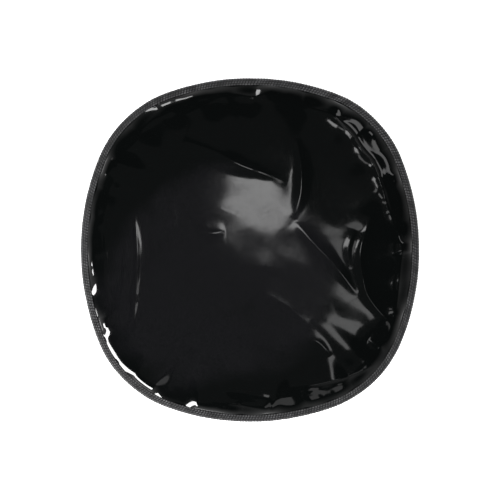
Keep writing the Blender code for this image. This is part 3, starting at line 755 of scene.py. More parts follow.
class Finishes:
    """Every finish of the bag, each built once."""

    def __init__(self) -> None:
        """Build them."""
        self.film = GlossFilm().build()
        self.braid = Yarn("edge_braid").build()
        self.shell = Cloth("shell_cloth", (0.0105, 0.0105, 0.0112), pitch=0.0010).build()
        self.sleeve = Cloth("sleeve_cloth", (0.0125, 0.0125, 0.0133), pitch=0.0008, sheen=0.35, rough=0.7).build()
        self.lining = Cloth("lining_cloth", (0.019, 0.019, 0.0205), pitch=0.0007, rough=0.5, sheen=0.1).build()
        self.webbing = Cloth("webbing", (0.0135, 0.0135, 0.0142), Weave.RIB, 0.0021, 0.0003, 0.66, 0.3, 2.2).build()
        self.tape = Cloth("zip_tape", (0.0125, 0.0125, 0.013), Weave.RIB, 0.0014, 0.00015, 0.7, 0.2).build()
        self.coil = Plain("coil_nylon", (0.020, 0.020, 0.021), 0.32, grain=0.0005).build()
        self.pull = Plain("pull_nylon", (0.016, 0.016, 0.017), 0.55, grain=0.0009, depth=0.0001).build()
        self.thread = Plain("thread", (0.026, 0.026, 0.027), 0.55, grain=0.0003, depth=0.00008).build()
        self.slider = Plain("black_metal", (0.045, 0.045, 0.048), 0.30, 0.9, 0.0006, 0.00001).build()
        self.steel = Plain("bright_wire", (0.56, 0.56, 0.57), 0.22, 1.0, 0.0012, 0.00001, (1.0, 6.0, 6.0)).build()
        self.rod = Plain("fibreglass", (0.30, 0.29, 0.23), 0.42, grain=0.002, stretch=(8.0, 8.0, 1.0)).build()
        self.foam = Plain("foam", (0.055, 0.055, 0.058), 0.95, grain=0.0011, depth=0.0004).build()
        self.board = Plain("board", (0.045, 0.045, 0.048), 0.55, grain=0.0007, depth=0.00005).build()
        self.elastic = Plain("elastic_core", (0.10, 0.10, 0.10), 0.8, grain=0.0009, depth=0.0001).build()


# ---------------------------------------------------------------- sub-assemblies


@dataclass
class Part:
    """A sub-assembly: it builds its meshes, dresses them and puts them on their bodies."""

    finishes: Finishes

    def settle(self, piece: bpy.types.Object, finish: bpy.types.Material, body: str, slot: str,
               *stands_for: str) -> bpy.types.Object:
        """Dress a piece, put it on its body, and hide the frame nodes that it stands for.

        Args:
            piece: the object.
            finish: its material.
            body: the body that it rides on.
            slot: a material slot's name; not used.
            *stands_for: the frame nodes that it replaces.

        Returns:
            The piece.
        """
        piece.data.materials.clear()
        piece.data.materials.append(finish)
        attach(piece, body)
        if stands_for:
            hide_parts(*stands_for)
        LOG.info("%s rides on %s, %d points", piece.name, body, len(piece.data.vertices))
        return piece

    def redress(self, node: str, finish: bpy.types.Material, edge: float = 0.0) -> None:
        """Give a frame node that stays a better finish, and round its edges if edge is above 0.

        Args:
            node: the frame node.
            finish: its material.
            edge: the rounding's width.
        """
        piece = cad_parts[node]
        piece.data.materials.clear()
        piece.data.materials.append(finish)
        if edge:
            soften(piece, edge)
        LOG.info("%s stays, in %s", node, finish.name)


@dataclass(frozen=True)
class Crease:
    """A crease of the film: a crisp crest along a line, with a steep and a long slope.

    The line's points are (x, y) in millimetres. left and right are how far each slope runs, in millimetres.
    """

    line: tuple
    height: float
    left: float
    right: float
    round_off: float = 0.9

    def relief(self, x: np.ndarray, y: np.ndarray) -> np.ndarray:
        """The crease's height in metres over points in metres.

        Args:
            x: places across the lid.
            y: places along the lid.

        Returns:
            The heights.
        """
        knots = np.array(self.line, float) * MM
        t = np.linspace(0.0, len(knots) - 1.0, 8 * (len(knots) - 1) + 1)
        px = np.interp(t, range(len(knots)), knots[:, 0])
        py = np.interp(t, range(len(knots)), knots[:, 1])
        for _ in range(5):
            px[1:-1] = (px[:-2] + 2 * px[1:-1] + px[2:]) / 4
            py[1:-1] = (py[:-2] + 2 * py[1:-1] + py[2:]) / 4
        best = np.full(x.shape, 9.0)
        side = np.zeros(x.shape)
        share = np.zeros(x.shape)
        count = len(px) - 1
        for k in range(count):
            ax, ay, bx, by = px[k], py[k], px[k + 1], py[k + 1]
            dx, dy = bx - ax, by - ay
            s = np.clip(((x - ax) * dx + (y - ay) * dy) / (dx * dx + dy * dy), 0.0, 1.0)
            ex, ey = x - ax - s * dx, y - ay - s * dy
            d = np.hypot(ex, ey)
            near = d < best
            best = np.where(near, d, best)
            side = np.where(near, np.sign(dx * ey - dy * ex), side)
            share = np.where(near, (k + s) / count, share)
        fade = np.sin(math.pi * np.clip(share, 0.0, 1.0)) ** 0.8
        reach = (self.right + (self.left - self.right) * (0.5 + 0.5 * side * np.sqrt(fade))) * MM
        far = np.sqrt(best**2 + (self.round_off * MM) ** 2) - self.round_off * MM
        return self.height * MM * fade * np.exp(-far / reach)


@dataclass
class Lid(Part):
    """The lid: film face over foam, its woven bound edge, lining and skirt."""

    crown: float = 0.0064
    roll: float = 0.0085
    grid: int = 380
    creases: tuple = (
        Crease(((-132, 62), (-125, -4), (-129, -72), (-139, -116)), 1.5, 4.5, 6.0),
        Crease(((-143, 20), (-139, -30), (-146, -58), (-141, -98)), 0.8, 4.0, 3.0),
        Crease(((136, 40), (121, -4), (129, -50), (162, -90)), 1.6, 6.0, 5.0),
        Crease(((117, 22), (108, 2), (112, -22)), 0.6, 4.0, 5.0),
        Crease(((-75, 122), (-42, 110), (-10, 94), (42, 76)), 1.5, 12.0, 5.0),
        Crease(((-62, 104), (-28, 92), (8, 86)), 0.5, 6.0, 5.0),
        Crease(((52, 124), (58, 88), (57, 62), (49, 34)), 1.4, 6.0, 6.0),
        Crease(((50, 32), (72, 6), (96, -18), (120, -50)), 1.2, 6.0, 7.0),
        Crease(((44, -153), (74, -150), (110, -141), (150, -124)), 2.0, 12.0, 4.0, 0.8),
        Crease(((-36, -156), (-4, -160), (26, -166)), 1.3, 6.0, 5.0),
        Crease(((-44, -168), (-8, -173), (24, -180)), 1.0, 5.0, 4.0),
        Crease(((-58, 26), (-46, 18), (-28, 20)), 0.8, 4.0, 5.0),
        Crease(((58, -96), (78, -104), (90, -118)), 0.5, 5.0, 4.0),
        Crease(((14, -48), (40, -62), (64, -82)), 0.45, 8.0, 6.0),
        Crease(((132, -100), (146, -108), (154, -122)), 1.0, 5.0, 5.0),
        Crease(((46, 176), (66, 159), (90, 152), (112, 131), (124, 112), (137, 98), (147, 72), (154, 48), (164, 22),
                (172, -6)), 1.8, 3.4, 6.5, 0.8),
        Crease(((172, 12), (167, -22), (165, -52), (160, -78)), 1.1, 4.0, 5.0, 0.6),
        Crease(((-164, 40), (-160, 4), (-163, -34), (-152, -86)), 0.8, 4.0, 5.0),
        Crease(((-22, 176), (2, 170), (24, 177)), 1.3, 4.0, 5.0),
        Crease(((-128, 128), (-108, 146), (-84, 156)), 0.9, 6.0, 5.0),
        Crease(((-92, 66), (-84, 40), (-88, 12)), 0.35, 6.0, 6.0),
        Crease(((-100, -52), (-70, -60), (-44, -56)), 0.35, 6.0, 6.0),
    )

    def relief(self, x: np.ndarray, y: np.ndarray) -> np.ndarray:
        """Height of the film's face over the flat of its edge.

        Args:
            x: places across the lid.
            y: places along the lid.

        Returns:
            The heights in metres.
        """
        inset, angle = OUTLINE.inset_of(x, y)
        run = OUTLINE.run(angle)
        q = np.maximum(inset - FOLD + 0.6 * MM, 0.0)
        roll = self.roll * np.clip(1.22 + 0.85 * Ripple(95, 0.095, 0.034, 9).band(angle), 0.5, 2.3)
        height = self.crown * (1.0 - np.exp(-q / roll)) + 0.0006 * smooth(0.0, 0.16, q)
        height += self.puckers(run, angle, q)
        inner = smooth(0.012, 0.045, q)
        height += inner * 0.0005 * Ripple(3, 0.30, 0.12, 14)(x, y)
        height += inner * 0.00008 * Ripple(5, 0.10, 0.035, 20)(x, y)
        height += smooth(0.006, 0.03, q) * 0.00007 * (Ripple.creased(Ripple(8, 0.09, 0.04, 12)(x, y)) - 0.6)
        for crease in self.creases:
            height += crease.relief(x, y) * smooth(0.002, 0.014, q)
        return height

    def puckers(self, run: np.ndarray, angle: np.ndarray, q: np.ndarray) -> np.ndarray:
        """The gathers along the sewn edge: soft blisters with pinched valleys between them.

        Args:
            run: length along the edge to each point.
            angle: outward direction of each point.
            q: distance in from the bound edge.

        Returns:
            The heights in metres.
        """
        rng = np.random.default_rng(17)
        total = np.zeros(run.shape)
        at = 0.0
        girth = OUTLINE.girth
        while at < girth - 0.016:
            wide = rng.uniform(0.009, 0.019)
            long_in = rng.uniform(0.006, 0.012)
            tall = rng.uniform(0.4, 1.7) * MM
            lean = rng.uniform(-0.5, 0.5)
            middle = rng.uniform(0.003, 0.0085)
            off = (run - at - lean * q + girth / 2) % girth - girth / 2
            blister = np.exp(-np.abs(off / wide) ** 2.4)
            total += tall * blister * np.exp(-(((q - middle) / long_in) ** 2))
            pinch_at = at + wide * rng.uniform(1.0, 1.3)
            off = (run - pinch_at - 0.5 * lean * q + girth / 2) % girth - girth / 2
            deep = rng.uniform(0.3, 1.3) * MM
            soft_off = np.sqrt(off**2 + (0.8 * MM) ** 2)
            fading = np.exp(-q / rng.uniform(0.006, 0.014)) * smooth(0.0, 0.002, q)
            total -= deep * np.exp(-soft_off / (3.2 * MM)) * fading
            at += wide * rng.uniform(2.0, 2.9)
        wander = Ripple(23, 0.09, 0.03, 10)
        ring = 0.0155 + 0.0045 * wander.band(angle)
        strength = 0.45 + 0.55 * np.clip(wander.band(angle, 0.4), 0.0, 1.0)
        total += 0.35 * MM * strength * np.exp(-np.sqrt((q - ring) ** 2 + 1e-6) / 0.0035)
        return total

    def build_film(self) -> None:
        """The film face, from under the bound edge to the middle."""
        n = self.grid
        line = np.sin(np.linspace(-1.0, 1.0, n) * math.pi / 2 * 0.92) / math.sin(math.pi / 2 * 0.92)
        u, v = np.meshgrid(line, line, indexing="ij")
        a, b = u * np.sqrt(1 - v * v / 2), v * np.sqrt(1 - u * u / 2)
        rho, theta = np.hypot(a, b), np.arctan2(b, a)
        edge_inset = FOLD - 2.2 * MM
        fine = np.linspace(-math.pi, math.pi, 3601)
        ex, ey = OUTLINE.at(fine, np.full_like(fine, edge_inset))
        polar = np.arctan2(ey, ex)
        order = np.argsort(polar)
        radius = np.interp(theta, polar[order], np.hypot(ex, ey)[order], period=TURN)
        x, y = rho * radius * np.cos(theta), rho * radius * np.sin(theta)
        z = LID_EDGE_Z + 0.0019 + self.relief(x, y)
        rows = np.stack([x, y, z], axis=2)
        film = lattice("film_face", rows)
        thicken(film, 0.5 * MM)
        self.settle(film, self.finishes.film, "lid", "film", "lid_film")

    def build_filling(self) -> None:
        """The foam under the film and the lining under the foam."""
        low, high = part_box("lid_pad")
        steps = 40
        angle = OUTLINE.even(240)
        share = np.linspace(0.0, 1.0, steps)
        top_inset = LID_HIGH.x - high.x + 0.001 + 0.11 * share**1.3
        ramp = low.z + (high.z - low.z - 0.0016) * smooth(-0.25, 0.5, share) - 0.0008
        under = np.linspace(0.11, 0.001, 12)
        inset = np.concatenate([top_inset[::-1], LID_HIGH.x - high.x + under[::-1]])
        height = np.concatenate([ramp[::-1], np.full(12, low.z)])
        rows = OUTLINE.sweep(angle, inset, height)
        rows[:, :steps, 2] += 0.0002 * Ripple(31, 0.03, 0.01)(rows[:, :steps, 0], rows[:, :steps, 1])
        pad = lattice("lid_pad_foam", rows, wrap_rows=True)
        cap_ends(pad, len(angle), rows.shape[1])
        self.settle(pad, self.finishes.foam, "lid", "foam", "lid_pad")
        Liner(self.finishes).flat("lid_lining_cloth", "lid_lining", "lid", 51, sag=-1.0)

    def build_skirt(self) -> None:
        """The cloth band under the bound edge, with its flange and hem."""
        angle = OUTLINE.even(520)
        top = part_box("lid_skirt")[1].z
        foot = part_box("lid_skirt")[0].z
        height = np.concatenate([np.full(5, top), np.linspace(top - 0.0006, foot, 14)])
        inset = np.concatenate([np.linspace(0.0058, WALL_INSET - 0.0004, 5), np.full(14, WALL_INSET)])
        run = OUTLINE.run(angle)[:, None]
        drop = smooth(0.0, 1.0, (top - height) / (top - foot))[None, :]
        wave = Ripple(41, 0.05, 0.016, 16).band(angle[:, None], 2.0 * height[None, :])
        x, y = OUTLINE.at(angle, np.zeros_like(angle))
        hinged = np.where(y > 0, 1 - smooth(0.045, 0.075, np.abs(x)), 0.0)[:, None]
        wave = wave * (1 - hinged)
        cleared = inset[None, :] + 0.0004 * hinged * drop
        rows = OUTLINE.sweep(angle, cleared + 0.0003 * wave * (0.4 + 0.6 * drop), height)
        uv = paired(run, height[None, :] + 2.0 * cleared[:, :1] - 2.0 * cleared)
        skirt = lattice("lid_skirt_cloth", rows, wrap_rows=True, uv=uv)
        thicken(skirt, 0.9 * MM)
        self.settle(skirt, self.finishes.shell, "lid", "cloth", "lid_skirt")
        count = int(OUTLINE.girth / (3.5 * MM))
        angle = OUTLINE.even(count)
        for name, above in (("skirt_stitches_low", 0.0022), ("skirt_stitches_high", 0.0090)):
            path = OUTLINE.sweep(angle, np.array([WALL_INSET - 0.0003]), np.array([foot + above]))[:, 0]
            self.settle(stitch_row(name, path, outward(angle)), self.finishes.thread, "lid", "cloth")

    def build(self) -> None:
        """Build the whole lid."""
        self.build_film()
        Braid(self.finishes).bound_edge("lid_binding_braid", "lid_binding", "lid", 0.0, LID_EDGE_Z)
        self.build_filling()
        self.build_skirt()
        self.redress("lid_hoop", self.finishes.steel)


def cap_ends(piece: bpy.types.Object, around: int, along: int) -> None:
    """Close both open rims of a piece that runs round the bag, with a flat face at each.

    Args:
        piece: the object.
        around: how many directions it has.
        along: how many points each has.
    """
    bm = bmesh.new()
    bm.from_mesh(piece.data)
    bm.verts.ensure_lookup_table()
    bm.faces.new([bm.verts[k * along] for k in range(around)])
    bm.faces.new([bm.verts[k * along + along - 1] for k in range(around)][::-1])
    bmesh.ops.recalc_face_normals(bm, faces=bm.faces)
    bm.to_mesh(piece.data)
    bm.free()
    piece.data.shade_smooth()


@dataclass
class Braid(Part):
    """Woven tape: crossing yarns in relief, folded over an edge or laid flat along a seam."""

    pick: float = 3.24 * MM
    yarns: int = 8
    relief: float = 0.55 * MM
    samples: int = 6

    def weave(self, run: np.ndarray, across: np.ndarray) -> np.ndarray:
        """Yarn height from 0 in the gaps to 1 on the crowns.

        Args:
            run: distance along the tape in picks.
            across: distance across the tape in yarns.

        Returns:
            The height share at each point.
        """
        row = np.floor(across)
        phase = run + 0.34 * row + 0.20 * (across - row - 0.5)
        bead = np.abs(np.sin(math.pi * phase)) ** 1.6
        cord = np.abs(np.sin(math.pi * across)) ** 0.8
        return bead * cord

    def bound_edge(self, name: str, node: str, body: str, outer: float, middle: float) -> None:
        """A tape folded over an edge, open inward.

        Args:
            name: the piece's name.
            node: the frame node that it stands for.
            body: the body that it rides on.
            outer: inset of the fold's outside.
            middle: height of the fold's middle.
        """
        half = 3.5 * MM - self.relief
        picks = int(round((OUTLINE.girth - TURN * outer) / self.pick))
        angle = OUTLINE.even(picks * self.samples)
        bend = half
        flat = FOLD - bend - self.relief
        total = 2 * flat + math.pi * bend
        steps = self.yarns * 6 + 1
        s = np.linspace(0.0, total, steps)
        on_top, on_foot = s < flat, s > total - flat
        turn = np.clip((s - flat) / bend, 0.0, math.pi)
        curved = bend * (1 - np.sin(turn))
        inset = np.where(on_top, bend + flat - s, np.where(on_foot, bend + (s - total + flat), curved))
        height = np.where(on_top, bend, np.where(on_foot, -bend, bend * np.cos(turn)))
        out_in = np.where(on_top | on_foot, 0.0, -np.sin(turn))
        out_up = np.where(on_top, 1.0, np.where(on_foot, -1.0, np.cos(turn)))
        run = OUTLINE.run(angle)[:, None] / OUTLINE.girth * picks
        across = (s / total * self.yarns)[None, :]
        slip = 0.10 * Ripple(61, 0.08, 0.02, 12).band(angle[:, None], across * 0.003)
        tall = self.weave(run + slip, across)
        uneven = 0.82 + 0.18 * Ripple(67, 0.02, 0.006, 16).band(angle[:, None], across * 0.003)
        rise = self.relief * tall * uneven
        sway = 0.00016 * Ripple(71, 0.12, 0.04, 10).band(angle[:, None])
        rows = OUTLINE.sweep(
            angle,
            outer + self.relief + inset[None, :] + out_in[None, :] * rise + sway,
            middle + height[None, :] + out_up[None, :] * rise,
        )
        # the weave heights also go to the finish as painted highlight on the crowns and painted shade in the gaps
        tape = lattice(name, rows, wrap_rows=True, painted_light=tall * uneven, flip=True)
        thicken(tape, 0.7 * MM)
        self.settle(tape, self.finishes.braid, body, "braid", node)

    def seam(self, name: str, node: str, middle: float, half: float) -> None:
        """A flat tape up a wall seam, with a row of stitches along each edge.

        Args:
            name: the piece's name.
            node: the frame node that it stands for.
            middle: the seam's outward direction in degrees.
            half: half the tape's width, in degrees there.
        """
        low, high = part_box(node)
        height = np.linspace(low.z, high.z, 240)
        angle = np.radians(np.linspace(middle - half, middle + half, 31))
        run = (height - low.z)[None, :] / self.pick
        across = np.linspace(0.0, 5.0, 31)[:, None]
        tall = self.weave(run, across)
        inset = wall_inset(height)[None, :] - 0.0009 - 0.0003 * tall
        rows = OUTLINE.sweep(angle, inset, height)
        # the weave heights also go to the finish as painted highlight on the crowns and painted shade in the gaps
        tape = lattice(name, rows, painted_light=tall)
        thicken(tape, 0.6 * MM)
        self.settle(tape, self.finishes.braid, "bag", "braid", node)
        for word, share in (("a", 0.14), ("b", 0.86)):
            place = np.full(40, math.radians(middle - half + 2 * half * share))
            z = np.linspace(low.z + 0.003, high.z - 0.003, 40)
            x, y = OUTLINE.at(place, wall_inset(z) - 0.0014)
            row = stitch_row(f"{name}_stitches_{word}", np.stack([x, y, z], axis=1), outward(place), 2.9 * MM)
            self.settle(row, self.finishes.thread, "bag", "braid")


@dataclass
class Liner(Part):
    """Light-tight lining cloth inside the drum and the lid."""

    def flat(self, name: str, node: str, body: str, seed: int, sag: float = 1.0) -> None:
        """A flat lining, slightly slack between its sewn edges.

        Args:
            name: the piece's name.
            node: the frame node that it stands for.
            body: the body that it rides on.
            seed: draws its wrinkles.
            sag: 1 where the wrinkles rise from a floor, -1 where they hang.
        """
        low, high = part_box(node)
        share = np.linspace(0.0, 1.0, 90) ** 0.9
        edge = OUTLINE.half_width - high.x
        angle = OUTLINE.even(360)
        x0, y0 = OUTLINE.at(angle, np.full_like(angle, edge))
        x, y = np.outer(x0, share), np.outer(y0, share)
        crease = Ripple.creased(Ripple(seed, 0.16, 0.05, 14)(x, y))
        wave = 0.0012 * (crease - 0.55) * np.sin(math.pi * np.minimum(1.0, 1.05 * share[None, :])) ** 0.5
        z = (high.z if sag > 0 else low.z) + sag * np.maximum(wave, 0.0)
        rows = np.stack([x, y, z], axis=2)
        cloth = lattice(name, rows, wrap_rows=True, uv=rows[:, :, :2].copy())
        thicken(cloth, 0.5 * MM, sag)
        self.settle(cloth, self.finishes.lining, body, "lining", node)

    def wall(self) -> None:
        """The drum's lining, with soft folds and two arm holes."""
        low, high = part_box("wall_lining")
        wall = Wall(self.finishes)
        height = np.linspace(low.z + 0.0004, high.z - 0.0006, 66)
        angle = OUTLINE.even(420)
        run = OUTLINE.run(angle)[:, None]
        head = smooth(WALL_BREAK_Z - 0.006, high.z, height)
        base = wall_inset(height) + 0.0062
        base = base * (1 - head) + (TAPE_INSET + 0.0026) * head
        inner = np.sin(math.pi * (height - low.z) / (high.z - low.z))[None, :]
        fold = Ripple.creased(Ripple(77, 0.09, 0.03, 16).band(angle[:, None], 0.25 * height[None, :])) * inner * 0.0022
        rows = OUTLINE.sweep(angle, base[None, :] + np.maximum(fold, 0.0), height)
        uv = paired(run, height[None, :])
        cloth = wall.pierced("wall_lining_cloth", rows, uv, True)
        thicken(cloth, 0.5 * MM)
        self.settle(cloth, self.finishes.lining, "bag", "lining", "wall_lining")

    def flap(self) -> None:
        """The light flap that stands behind the zip."""
        low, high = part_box("light_flap")
        height = np.linspace(low.z, high.z, 16)
        angle = OUTLINE.even(480)
        run = OUTLINE.run(angle)[:, None]
        lean = smooth(ZIP_Z - 0.004, ZIP_Z - 0.001, height)
        base = TAPE_INSET + 0.0012 + 0.0011 * lean
        wave = 0.0005 * (1 + Ripple(83, 0.05, 0.018, 14).band(angle[:, None], height[None, :])) * lean[None, :]
        rows = OUTLINE.sweep(angle, base[None, :] + np.maximum(wave, 0.0), height)
        uv = paired(run, height[None, :])
        cloth = lattice("light_flap_cloth", rows, wrap_rows=True, uv=uv)
        thicken(cloth, 0.5 * MM)
        self.settle(cloth, self.finishes.lining, "bag", "lining", "light_flap")

    def build(self) -> None:
        """Build the drum's linings."""
        self.wall()
        self.flap()
        self.flat("base_lining_cloth", "base_lining", "bag", 53)


@dataclass
class Wall(Part):
    """The drum's outer cloth in two panels, with its seams, base and arm holes."""

    seam_angle: float = 26.0
    seam_half: float = 3.2
    hole: float = 0.0500

    def pierced(self, name: str, rows: np.ndarray, uv: np.ndarray, wrap: bool) -> bpy.types.Object:
        """A sheet through a grid of points, with the arm holes cut out of it.

        Args:
            name: the piece's name.
            rows: (rows, columns, 3) grid of points.
            uv: (rows, columns, 2) cloth coordinates.
            wrap: whether the rows close on themselves.

        Returns:
            The new object.
        """
        faces = lattice_faces(rows.shape[0], rows.shape[1], wrap, False)
        points = rows.reshape(-1, 3).copy()
        for side in (-1, 1):
            spot, out = ArmWay(side).spot, ArmWay(side).out
            off = points - spot
            along = off @ out
            flat = off - along[:, None] * out
            far = np.linalg.norm(flat, axis=1)
            facing = along > -0.04
            inside = (far < self.hole) & facing
            faces = faces[~inside[faces].all(axis=1)]
            rim = inside & np.isin(np.arange(len(points)), faces)
            points[rim] += flat[rim] * (self.hole / np.maximum(far[rim], 1e-6) - 1.0)[:, None]
        used = np.unique(faces)
        fresh = np.full(len(points), -1)
        fresh[used] = np.arange(len(used))
        return mesh_piece(name, points[used], fresh[faces], uv.reshape(-1, 2)[used])

    def panel(self, name: str, node: str, start: float, end: float, seed: int) -> None:
        """A wall panel between two seams.

        Args:
            name: the piece's name.
            node: the frame node that it stands for.
            start: outward direction of its first seam, in degrees.
            end: outward direction of its last seam.
            seed: draws its folds.
        """
        count = int((end - start) / 0.72)
        angle = OUTLINE.even(count, start, end)
        height = np.concatenate([[WALL_FOOT_Z, WALL_FOOT_Z], np.linspace(WALL_FOOT_Z + 0.001, WALL_TOP_Z, 78)])
        base = wall_inset(height)
        base[0] -= 0.0048
        run = OUTLINE.run(angle)[:, None]
        share = ((height - WALL_FOOT_Z) / (WALL_TOP_Z - WALL_FOOT_Z))[None, :]
        slack = np.sin(math.pi * np.clip(share, 0.0, 1.0)) ** 0.8
        place = angle[:, None]
        soft = Ripple(seed, 0.16, 0.06, 14).band(place, 0.45 * height[None, :])
        fold = Ripple.creased(Ripple(seed + 1, 0.10, 0.035, 16).band(place, 0.30 * height[None, :]))
        drag = Ripple(seed + 2, 0.05, 0.02, 16).band(place, 0.6 * height[None, :])
        sink = slack * (0.0009 * (1 - soft) + 0.0011 * (1.0 - fold) + 0.00025 * (1 - drag))
        gather = Ripple(seed + 3, 0.018, 0.008, 12).band(place, 0.1 * height[None, :])
        ends = np.exp(-share / 0.05) + np.exp(-(1 - share) / 0.05)
        sink = sink + 0.00018 * (1 + gather) * np.clip(ends, 0.0, 1.0)
        sink = sink * self.off_stays(angle, height)
        rows = OUTLINE.sweep(angle, base[None, :] + sink, height)
        uv = paired(run, height[None, :])
        cloth = self.pierced(name, rows, uv, False)
        thicken(cloth, 0.9 * MM)
        self.settle(cloth, self.finishes.shell, "bag", "cloth", node)

    def off_stays(self, angle: np.ndarray, height: np.ndarray) -> np.ndarray:
        """1 away from the upright stays and 0 over them, where the cloth is held out.

        Args:
            angle: outward directions of the wall's columns.
            height: heights of its rows.

        Returns:
            The share for each column and row.
        """
        x, y = OUTLINE.at(np.broadcast_to(angle[:, None], (len(angle), len(height))), wall_inset(height)[None, :])
        free = np.ones(x.shape)
        for node in STAYS:
            low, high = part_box(node)
            share = np.clip((height - low.z) / (high.z - low.z), 0.0, 1.0)
            outer_x, inner_x = (low.x, high.x) if high.x + low.x < 0 else (high.x, low.x)
            outer_y, inner_y = (low.y, high.y) if high.y + low.y < 0 else (high.y, low.y)
            if node == "stay_front":
                outer_x = inner_x = 0.0
            sx, sy = inner_x + (outer_x - inner_x) * share, inner_y + (outer_y - inner_y) * share
            away = np.hypot(x - sx[None, :], y - sy[None, :])
            free *= 1.0 - np.exp(-((away / 0.011) ** 4))
        return free

    def build(self) -> None:
        """Build the panels, the seams, the base and the rows of stitches."""
        right, left = self.seam_angle, 180.0 - self.seam_angle
        self.panel("wall_front_cloth", "wall_front", left, right + 360.0, 101)
        self.panel("wall_rear_cloth", "wall_rear", right, left, 131)
        braid = Braid(self.finishes)
        braid.seam("side_seam_right_tape", "side_seam_right", right, self.seam_half)
        braid.seam("side_seam_left_tape", "side_seam_left", left, self.seam_half)
        braid.bound_edge("base_binding_braid", "base_binding", "bag", BASE_INSET, BASE_EDGE_Z)
        self.base()
        count = int((OUTLINE.girth - TURN * WALL_INSET) / (3.5 * MM))
        angle = OUTLINE.even(count)
        out = outward(angle)
        for name, under in (("wall_stitches_high", 0.0018), ("wall_stitches_low", 0.0085)):
            z = WALL_TOP_Z - under
            path = OUTLINE.sweep(angle, np.array([wall_inset(z) - 0.0002]), np.array([z]))[:, 0]
            self.settle(stitch_row(name, path, out), self.finishes.thread, "bag", "cloth")
        for node in ("base_hoop", "rim_hoop"):
            self.redress(node, self.finishes.steel)
        for node in STAYS:
            self.redress(node, self.finishes.rod)
        self.redress("base_board", self.finishes.board, 0.0006)

    def base(self) -> None:
        """The base's cloth cover: flat where it stands, and turned up at its sewn edge."""
        low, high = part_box("base_cover")
        angle = OUTLINE.even(300)
        edge = OUTLINE.half_width - high.x
        share = np.concatenate([np.linspace(0.0, 0.92, 60), np.linspace(0.93, 1.0, 12)])
        x0, y0 = OUTLINE.at(angle, np.full_like(angle, edge))
        x, y = np.outer(x0, share), np.outer(y0, share)
        lift = smooth(0.93, 0.972, share)[None, :] * (high.z - low.z - 0.0009)
        pucker = 0.0003 * Ripple(141, 0.03, 0.01, 14).band(angle[:, None], share[None, :])
        rise = lift + np.maximum(0.0, pucker) * smooth(0.85, 0.95, share)[None, :] * (share < 0.985)[None, :]
        rows = np.stack([x, y, low.z + rise], axis=2)
        cloth = lattice("base_cover_cloth", rows, wrap_rows=True, uv=rows[:, :, :2].copy())
        thicken(cloth, 0.8 * MM)
        self.settle(cloth, self.finishes.shell, "bag", "cloth", "base_cover")


@dataclass
class ArmWay:
    """Where a sleeve's axis meets the wall, and which way it points; side is -1 left or 1 right."""

    side: int
    angle: float = 24.0
    height: float = 0.0880

    def __post_init__(self) -> None:
        """Find the spot and the directions."""
        lean = math.radians(self.angle)
        self.out = np.array([self.side * math.sin(lean), -math.cos(lean), 0.0])
        self.across = np.array([math.cos(lean), self.side * math.sin(lean), 0.0])
        self.up = np.array([0.0, 0.0, 1.0])
        facing = np.array([-math.pi / 2 + self.side * lean])
        x, y = OUTLINE.at(facing, np.array([wall_inset(self.height)]))
        self.spot = np.array([x[0], y[0], self.height])

    def on_wall(self, radius: np.ndarray, turn: np.ndarray, proud: np.ndarray | float) -> np.ndarray:
        """How far along the axis the wall lies at a radius and turn, plus a distance off it.

        Args:
            radius: distance from the axis.
            turn: angle round the axis.
            proud: how far outside the wall's face.

        Returns:
            The distance along the axis.
        """
        sides = self.across[:, None] * (radius * np.cos(turn)).ravel()
        ups = self.up[:, None] * (radius * np.sin(turn)).ravel()
        start = self.spot[:, None] + sides + ups
        low, high = np.full(start.shape[1], -0.09), np.full(start.shape[1], 0.06)
        target = wall_inset(start[2]) - np.broadcast_to(proud, radius.shape).ravel()
        for _ in range(30):
            mid = (low + high) / 2
            x, y = start[0] + mid * self.out[0], start[1] + mid * self.out[1]
            inside = OUTLINE.inset_of(x, y)[0] > target
            low, high = np.where(inside, mid, low), np.where(inside, high, mid)
        return low.reshape(radius.shape)

    def points(self, radius: np.ndarray, turn: np.ndarray, along: np.ndarray) -> np.ndarray:
        """Points by radius, turn and distance along the axis.

        Args:
            radius: distances from the axis.
            turn: angles round it.
            along: distances along it.

        Returns:
            The points.
        """
        radius, turn, along = np.broadcast_arrays(radius, turn, along)
        return (
            self.spot
            + (radius * np.cos(turn))[..., None] * self.across
            + (radius * np.sin(turn))[..., None] * self.up
            + along[..., None] * self.out
        )


